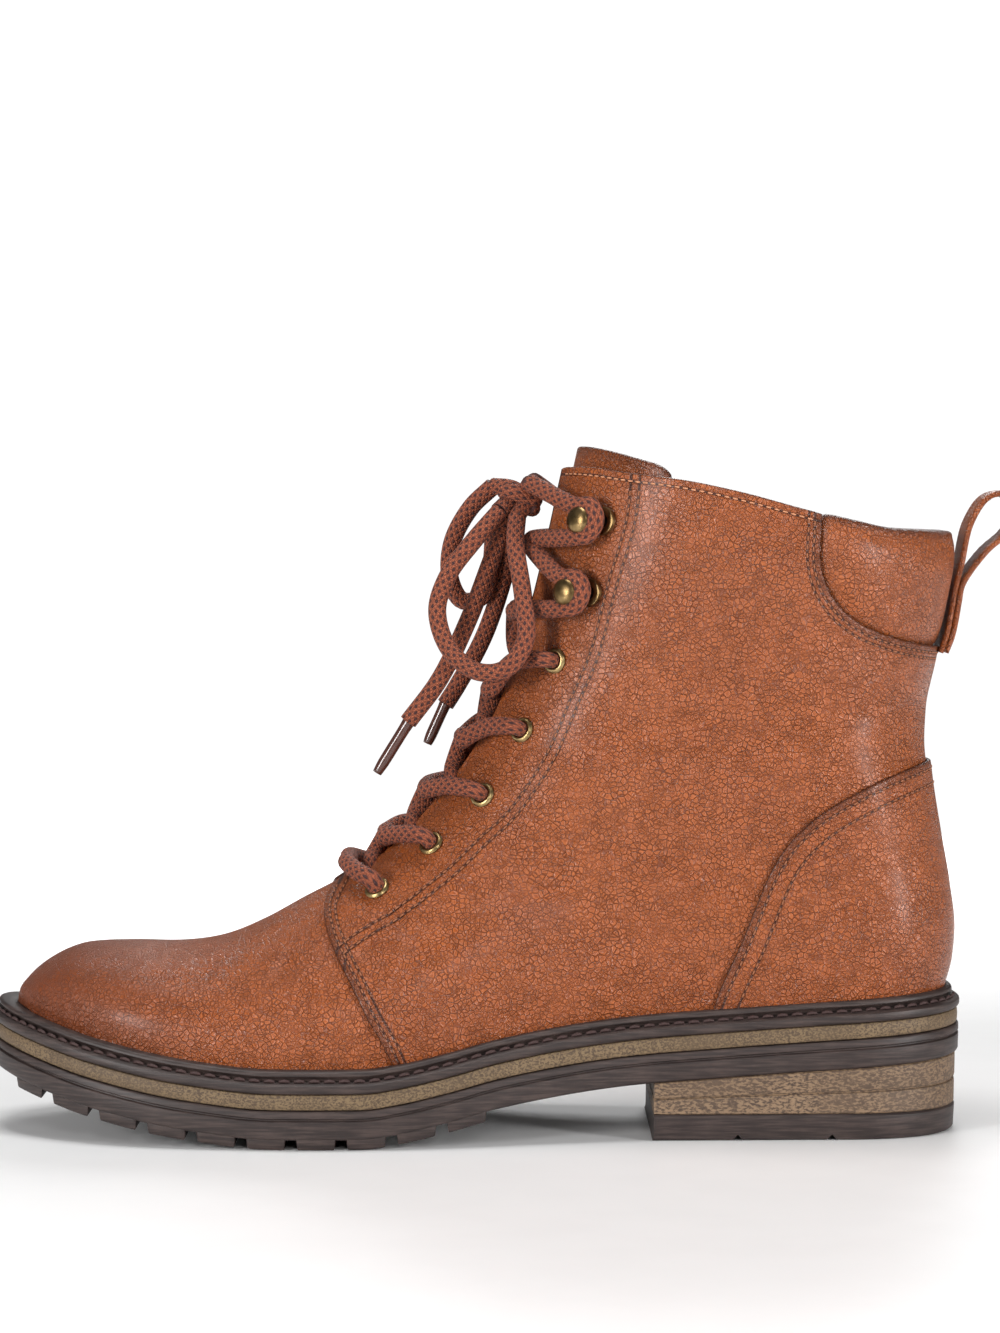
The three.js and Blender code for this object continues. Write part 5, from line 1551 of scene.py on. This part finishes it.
class BOOT_OT_overlays(BootPiece):
    """Makes the heel counter, the padded collar, the tongue and the pull loop"""

    bl_idname = "boot.overlays"
    bl_label = "Counter, collar, tongue and loop"

    def execute(self, context):
        skin = finish("counter_leather")
        counter = panel("counter_overlay", IN_COUNTER, 1.4, 1.15, 0.5, skin, {"edge": IN_COUNTER})
        dress(counter, "upper_leather", "heel_counter")
        self.make_pad(context.scene.boot_sizes.pad_fill)
        self.make_tongue()
        self.make_loop()
        return {"FINISHED"}

    def make_pad(self, fill):
        inside = corner_rounded(IN_PAD - 0.5, UNDER_COLLAR - 0.9, 2.5)
        near_loop = smooth(FROM_CENTRE, 6, 15)
        crown = 1 - np.exp(-np.maximum(inside, 0) / 3.2)
        offset = -1.7 + (1.9 + 1.5 * near_loop) * crown
        pad = panel("collar_pad_soft", inside, offset, 4.6, 1.5, finish("pad_leather"), {"edge": inside + 1})
        dress(pad, "pad_leather", "collar_pad")

    def make_tongue(self):
        steps = np.arange(1, 24)[:, None, None] * 1.2
        lean = FORM[-1] - FORM[-8]
        lean = lean / np.maximum(lean[:, 2:3], 1)
        grid = np.concatenate([FORM, FORM[-1] + steps * lean])
        normals = np.concatenate([NORMALS, np.repeat(NORMALS[-1:], len(steps), 0)])
        x, z = grid[..., 0], grid[..., 2]
        across = np.abs(grid[..., 1] - sway(x, z))
        front = np.vstack([FRONT_HALF, np.repeat(FRONT_HALF[-1:], len(steps), 0)])
        flare = 12.5 * smooth(z, 0.86 * SHAFT_HEIGHT, SHAFT_HEIGHT)
        half = TONGUE_WIDTH / 2 + flare
        top = SHAFT_HEIGHT + TONGUE_RISE - 0.3 - 7.5 * (across / 37.5) ** 3 - z
        edge = corner_rounded(half - across, top, 3.5)
        edge = np.where(front, np.minimum(edge, x - to_x(0.36)), -9)
        tongue = panel(
            "tongue_sheet", edge, -4.6, 2.2, 0.9, finish("tongue_leather"), {"edge": edge}, (grid, normals)
        )
        dress(tongue, "pad_leather", "tongue")

    def make_loop(self):
        """A strap sewn to the back, folded over into a loop."""

        def beside(up, seat):
            return back_x(to_z(up)) + seat, to_z(up)

        knot_x, knot_z = back_x(to_z(0.85)) + 2.8, to_z(0.855)
        rise, reach = SHAFT_HEIGHT * 0.105, HEEL_LENGTH * 0.17
        levels = (0.722, 0.745, 0.77, 0.8, 0.825)
        path = [
            *map(beside, levels, (0.2, 1.0, 1.35, 1.4, 1.4)),
            (knot_x - 0.9, knot_z),
            (knot_x + 0.12 * reach, knot_z + 0.6 * rise),
            (knot_x + 0.45 * reach, knot_z + 0.97 * rise),
            (knot_x + 0.8 * reach, knot_z + 1.02 * rise),
            (knot_x + reach, knot_z + 0.8 * rise),
            (knot_x + 0.85 * reach, knot_z + 0.5 * rise),
            (knot_x + 0.4 * reach, knot_z + 0.18 * rise),
            *map(beside, levels[::-1], (3.2, 3.1, 3.05, 2.7, 1.7)),
        ]
        line = even_path(smooth_path([(float(x), 0.0, float(z)) for x, z in path]), 110)
        run = unit(np.gradient(line, axis=0))
        out = np.column_stack([run[:, 2], np.zeros(len(run)), -run[:, 0]])
        half, thin, soft = PULL_LOOP_WIDTH / 2, 0.85, 0.9
        section = [(half - soft, thin), (half - 0.15, thin * 0.75), (half, 0)]
        section += [(y, -t) for y, t in section[1::-1]]
        section += [(0, -thin), *[(-y, -t) for y, t in section], (0, thin)]
        rings = [line + out * t + np.array([0, y, 0]) for y, t in section]
        points = np.stack(rings, axis=1)
        count, size = points.shape[:2]
        faces = [*ring_quads(count, size), tuple(range(size)), tuple(range((count - 1) * size, count * size))]
        edge = np.tile([1.0 if abs(y) < half - 1.2 else 0.2 for y, t in section], count) + 2
        points = points.reshape(-1, 3)
        strap = new_piece("pull_loop_strap", points, faces, finish("pad_leather"), {"edge": edge})
        dress(turn_outward(strap), "pad_leather", "pull_loop")
        rows = [(line + out * 0.72 + np.array([0, y, 0]), out) for y in (-6.6, 6.6)]
        dress(stitches("pull_loop_stitches", rows, finish("thread"), width=0.4), "upper_leather")


class BOOT_OT_stitching(BootPiece):
    """Sews the seams of the upper"""

    bl_idname = "boot.stitching"
    bl_label = "Upper stitching"

    def execute(self, context):
        sizes = context.scene.boot_sizes
        length, pitch = sizes.stitch_length / MM, sizes.stitch_pitch / MM
        facing = side_line(FACING_LINE)
        quarter = side_line(QUARTER_EDGE)
        counter = side_line(COUNTER_EDGE)
        pad = side_line(PAD_EDGE)
        collar = side_line([(a, u) for a, u in zip(COLLAR["along"], COLLAR["up"]) if a < 0.84])

        def beside(line, distances, turn):
            return [shifted(line, turn * distance) for distance in distances]

        upper = [*beside(facing, FACING_ROWS, 1), *beside(quarter, PANEL_ROWS, -1)]
        seams = (
            ("upper_stitches", "thread", 0.0, upper),
            ("pad_stitches", "thread", 0.0, beside(pad, PANEL_ROWS, 1)),
            ("collar_stitches", "pale_thread", 0.1, [collar - (0, COLLAR_ROW)]),
            ("counter_stitches", "thread", 1.42, beside(counter, COUNTER_ROWS, -1)),
        )
        for name, thread, lift, lines in seams:
            rows = [row_on_form(line, sign, lift) for line in lines for sign in (LATERAL, MEDIAL)]
            dress(stitches(name, rows, finish(thread), length, pitch), "upper_leather")
        return {"FINISHED"}


class BOOT_OT_sole(BootPiece):
    """Makes the welt, midsole, outsole, heel and their stitching"""

    bl_idname = "boot.sole"
    bl_label = "Sole"

    HEEL_STEPS = 90

    def execute(self, context):
        self.make_welt(context.scene.boot_sizes.welt_pitch / MM)
        middle = between(lambda x: outsole_top(x) + GAP / 3, midsole_top)
        levels = [(0, 1.6), (0.06, 0.95), (0.2, 0.7), (0.5, 0.6), (0.8, 0.7), (0.94, 0.95), (1, 1.6)]
        midsole = sole_piece("midsole_stack", [(middle(s), i) for s, i in levels], finish("midsole"))
        dress(midsole, "stack_tan", "midsole")
        self.make_outsole()
        self.make_heel()
        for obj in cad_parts.values():
            if obj.name.split(".")[0] == "insole":
                obj.data.materials.clear()
                obj.data.materials.append(finish("lining"))
        return {"FINISHED"}

    def make_welt(self, pitch):
        line = between(lambda x: midsole_top(x) + GAP / 3, welt_top)
        levels = [
            (0, 0.9), (0.05, 0.35), (0.14, 0.05), (0.28, 0.0), (0.38, 0.15), (0.45, 0.7),
            (0.5, 1.6), (0.54, 2.6), (0.6, 3.1), (0.66, 3.0), (0.71, 2.6), (0.78, 2.25),
            (0.86, 2.25), (0.94, 2.55), (1, 3.2), (1, 7.5),
        ]
        welt = sole_piece("welt_strip", [(line(s), i) for s, i in levels], finish("rubber"))
        dress(welt, "dark_rubber", "welt")
        rows = []
        for sign in (LATERAL, MEDIAL):
            share = np.linspace(0.02, 0.995, 500)
            x, y = edge_point(share, sign, 1.75)
            z = mix(midsole_top(x), welt_top(x), 0.57)
            points = np.column_stack([x, y, z])
            out = unit(np.cross(np.gradient(points, axis=0), [0, 0, -sign]))
            rows.append((points, out * 0.5 + [0, 0, 0.85]))
        thread = stitches("welt_stitches", rows, finish("welt_thread"), pitch * 0.8, pitch, 1.0)
        dress(thread, "dark_rubber")

    def make_outsole(self):
        line = between(outsole_bottom, outsole_top)
        levels = [
            (0, 1.5), (0.05, 0.7), (0.12, 0.4), (0.62, 0.3), (0.655, 0.55), (0.675, 1.0),
            (0.705, 1.05), (0.73, 0.55), (0.76, 0.3), (0.94, 0.3), (0.98, 0.5), (1, 0.9),
        ]
        plate = sole_piece("outsole_plate", [(line(s), i) for s, i in levels], finish("rubber"))
        lugs = [bevelled(block, 0.45) for block in lug_blocks(finish("rubber"))]
        dress(joined("outsole_tread", [plate, *lugs]), "dark_rubber", "outsole")

    def make_heel(self):
        start = float(station_at(1 - HEEL_LENGTH / BOOT_LENGTH))
        line = between(lambda x: TOP_LIFT_HEIGHT + GAP / 3 + 0 * x, lambda x: outsole_bottom(x) - GAP / 3)
        levels = [
            (0, 1.9), (0.03, 1.55), (0.42, 1.45), (0.455, 1.55), (0.475, 2.1), (0.5, 2.1),
            (0.52, 1.5), (0.56, 1.35), (0.97, 1.25), (1, 1.7),
        ]
        levels = [(line(share), inset) for share, inset in levels]
        stack = sole_piece("heel_stack_lifts", levels, finish("stack"), start, self.HEEL_STEPS)
        dress(stack, "stack_tan", "heel_stack")
        heights = [(0, 2.7), (0.35, 2.1), (0.9, 1.7), (TOP_LIFT_HEIGHT - 0.5, 1.4), (TOP_LIFT_HEIGHT, 1.8)]
        levels = [((lambda x, h=h: h + 0 * x), inset) for h, inset in heights]
        lift = sole_piece("top_lift_rubber", levels, finish("rubber"), start, self.HEEL_STEPS)
        for share in (-0.24, 0.06):
            self.cut_notch(lift, share * HEEL_LENGTH)
        dress(bevelled(lift, 0.25, 2, 50), "dark_rubber", "top_lift")

    def cut_notch(self, lift, x):
        """Cuts a small V across the lift's tread."""
        half = LIFT_NOTCH / 2
        bpy.ops.object.select_all(action="DESELECT")
        section = [(x - half, -1), (x + half, -1), (x + half * 0.9, 0), (x, half), (x - half * 0.9, 0)]
        points = [(a, y, z) for y in (-HEEL_WIDTH, HEEL_WIDTH) for a, z in section]
        size = len(section)
        faces = [*ring_quads(2, size), tuple(range(size)), tuple(range(size, 2 * size))]
        cutter = turn_outward(new_piece("notch_cutter", points, faces, finish("rubber")))
        cut = lift.modifiers.new("notch", "BOOLEAN")
        cut.operation = "DIFFERENCE"
        cut.object = cutter
        bpy.context.view_layer.objects.active = lift
        bpy.ops.object.modifier_apply(modifier=cut.name)
        bpy.data.objects.remove(cutter)


class BOOT_OT_metal(BootPiece):
    """Makes the eyelets and the lace hooks"""

    bl_idname = "boot.metal"
    bl_label = "Eyelets and hooks"

    def execute(self, context):
        bore, rim = EYELET_BORE / 2, EYELET_DIAMETER / 2
        rolled = [(bore, -2.6), (bore, 0.5), (bore + 0.2, 0.85), (bore + 0.6, 1.0), (bore + 1.05, 0.8)]
        rolled += [(rim, 0.25), (rim - 0.1, -0.1)]
        back = [(bore + 0.5, -0.1), (bore + 0.4, -2.6), (bore, -2.6)]
        eyelet = turned("eyelet_model", [*rolled, *back], 40, finish("brass"))
        hook = self.hook_model()
        kinds = (("eyelet_ring", "eyelet", eyelet, EYELETS, 0.25), ("hook", "lace_hook", hook, HOOKS, 0.3))
        for side, sign in SIDES:
            for name, node, model, places, lift in kinds:
                for i, shares in enumerate(places, 1):
                    point, out = spot_on(shares, sign)
                    part = placed_copy(model, f"{name}_{side}_{i}", surface_turn(point + out * lift, out))
                    dress(part, "aged_brass", f"{node}_{side}_{i}")
        for model in (eyelet, hook):
            bpy.data.objects.remove(model)
        return {"FINISHED"}

    def hook_model(self):
        head, neck, top = HOOK_HEAD / 2, HOOK_NECK / 2, HOOK_HEIGHT
        turns = np.radians([12, 26, 40, 54, 68, 80, 90])
        dome = [(0, top), *[(head * math.sin(a), top - 1.7 * (1 - math.cos(a))) for a in turns]]
        dome += [(head - 0.15, top - 1.95), (head - 0.6, top - 2.0), (neck, top - 1.9), (neck, 0.9)]
        dome += [(head - 0.3, 0.85), (head - 0.1, 0.6), (head - 0.1, 0.0), (0, 0.0)]
        stud = turned("hook_stud", dome, 40, finish("old_brass"))
        hole = head * 0.55
        ring = [(hole, 0), (hole, 1.1), (hole + 0.25, 1.45), (hole + 0.7, 1.5)]
        ring += [(head + 0.05, 1.1), (head + 0.2, 0.5), (head + 0.2, 0), (hole, 0)]
        rivet = turned("hook_rivet", ring, 40, finish("old_brass"))
        rivet.data.transform(Matrix.Translation((HOOK_REACH * MM, 0, 0)))
        # Painted shade: a dark disc in the rivet's hollow, where its shadow falls.
        disc = [(0, 0.35), (hole + 0.05, 0.3), (hole + 0.05, 0), (0, 0)]
        plug = turned("hook_hole_shadow_disc", disc, 24, finish("shade_in_hole"))
        plug.data.transform(Matrix.Translation((HOOK_REACH * MM, 0, 0)))
        bpy.ops.mesh.primitive_cube_add(size=MM)
        plate = bpy.context.object
        plate.data.transform(Matrix.Diagonal((HOOK_REACH, HOOK_HEAD * 0.62, 0.8, 1)))
        plate.data.transform(Matrix.Translation((HOOK_REACH / 2 * MM, 0, 0.42 * MM)))
        plate.data.materials.append(finish("old_brass"))
        bevelled(plate, 0.3, 3, 30)
        return joined("hook_model", [stud, rivet, plug, plate])


class BOOT_OT_stage(BootPiece):
    """Sets the pale floor, the studio lights and the white background"""

    bl_idname = "boot.stage"
    bl_label = "Stage and lights"

    # Place, width, height and power
    LIGHTS = {
        "left_softbox": ((-1.1, -1.0, 0.35), 0.28, 0.55, 15.0),
        "right_softbox": ((1.05, -0.85, 0.3), 0.28, 0.7, 15.0),
        "top_softbox": ((-0.15, -0.1, 1.5), 0.8, 0.6, 12.0),
        "front_softbox": ((0.15, -1.7, 0.8), 0.35, 0.35, 4.5),
        "back_softbox": ((0.1, 1.3, 1.0), 0.7, 0.7, 9.0),
    }
    AIM = Vector((-0.09, 0, 0.09))
    GLOW, BACKGROUND = 0.14, 1.05
    FLOOR_RADIUS = 1.0

    def execute(self, context):
        bpy.ops.mesh.primitive_circle_add(
            vertices=96, radius=self.FLOOR_RADIUS, fill_type="NGON", location=(0, 0, -0.00005)
        )
        floor = bpy.context.object
        floor.name = floor.data.name = "studio_floor"
        bpy.ops.object.transform_apply()
        floor.data.materials.append(pale_floor())
        for name, (place, width, height, power) in self.LIGHTS.items():
            data = bpy.data.lights.new(name, "AREA")
            data.shape = "ELLIPSE"
            data.size = width
            data.size_y = height
            data.energy = power
            lamp = linked_object(name, data)
            lamp.location = place
            lamp.rotation_euler = (self.AIM - Vector(place)).to_track_quat("-Z", "Y").to_euler()
        self.light_world(context)
        context.scene.view_settings.view_transform = "Standard"
        return {"FINISHED"}

    def light_world(self, context):
        """A faint glow on the boot, behind a background that is white from every side."""
        world = bpy.data.worlds.new("studio")
        context.scene.world = world
        world.use_nodes = True
        tree = world.node_tree
        seen = tree.nodes.new("ShaderNodeLightPath").outputs["Is Camera Ray"]
        strength = tree.nodes.new("ShaderNodeMapRange")
        strength.inputs["To Min"].default_value = self.GLOW
        strength.inputs["To Max"].default_value = self.BACKGROUND
        tree.links.new(seen, strength.inputs["Value"])
        background = tree.nodes["Background"]
        background.inputs["Color"].default_value = (1, 1, 1, 1)
        tree.links.new(strength.outputs["Result"], background.inputs["Strength"])


STEPS = (
    BOOT_OT_camera,
    BOOT_OT_bow,
    BOOT_OT_lacing,
    BOOT_OT_upper,
    BOOT_OT_overlays,
    BOOT_OT_stitching,
    BOOT_OT_sole,
    BOOT_OT_metal,
    BOOT_OT_stage,
)


class BOOT_PT_panel(bpy.types.Panel):
    """Lists the boot's sizes, colours and steps"""

    bl_idname = "BOOT_PT_panel"
    bl_label = "Lace-up Ankle Boot"
    bl_space_type = "VIEW_3D"
    bl_region_type = "UI"
    bl_category = "Boot"

    def draw(self, context):
        for group in (context.scene.boot_sizes, context.scene.boot_colours):
            for name in group.bl_rna.properties.keys():
                if name not in ("rna_type", "name"):
                    self.layout.prop(group, name)
        for step in STEPS:
            self.layout.operator(step.bl_idname)


CLASSES = (BootSizes, BootColours, *STEPS, BOOT_PT_panel)


def register():
    for item in CLASSES:
        bpy.utils.register_class(item)
    bpy.types.Scene.boot_sizes = bpy.props.PointerProperty(type=BootSizes)
    bpy.types.Scene.boot_colours = bpy.props.PointerProperty(type=BootColours)


def unregister():
    del bpy.types.Scene.boot_sizes
    del bpy.types.Scene.boot_colours
    for item in reversed(CLASSES):
        bpy.utils.unregister_class(item)


def main():
    register()
    for step in STEPS:
        group, name = step.bl_idname.split(".")
        getattr(getattr(bpy.ops, group), name)()


if __name__ == "__main__":
    main()
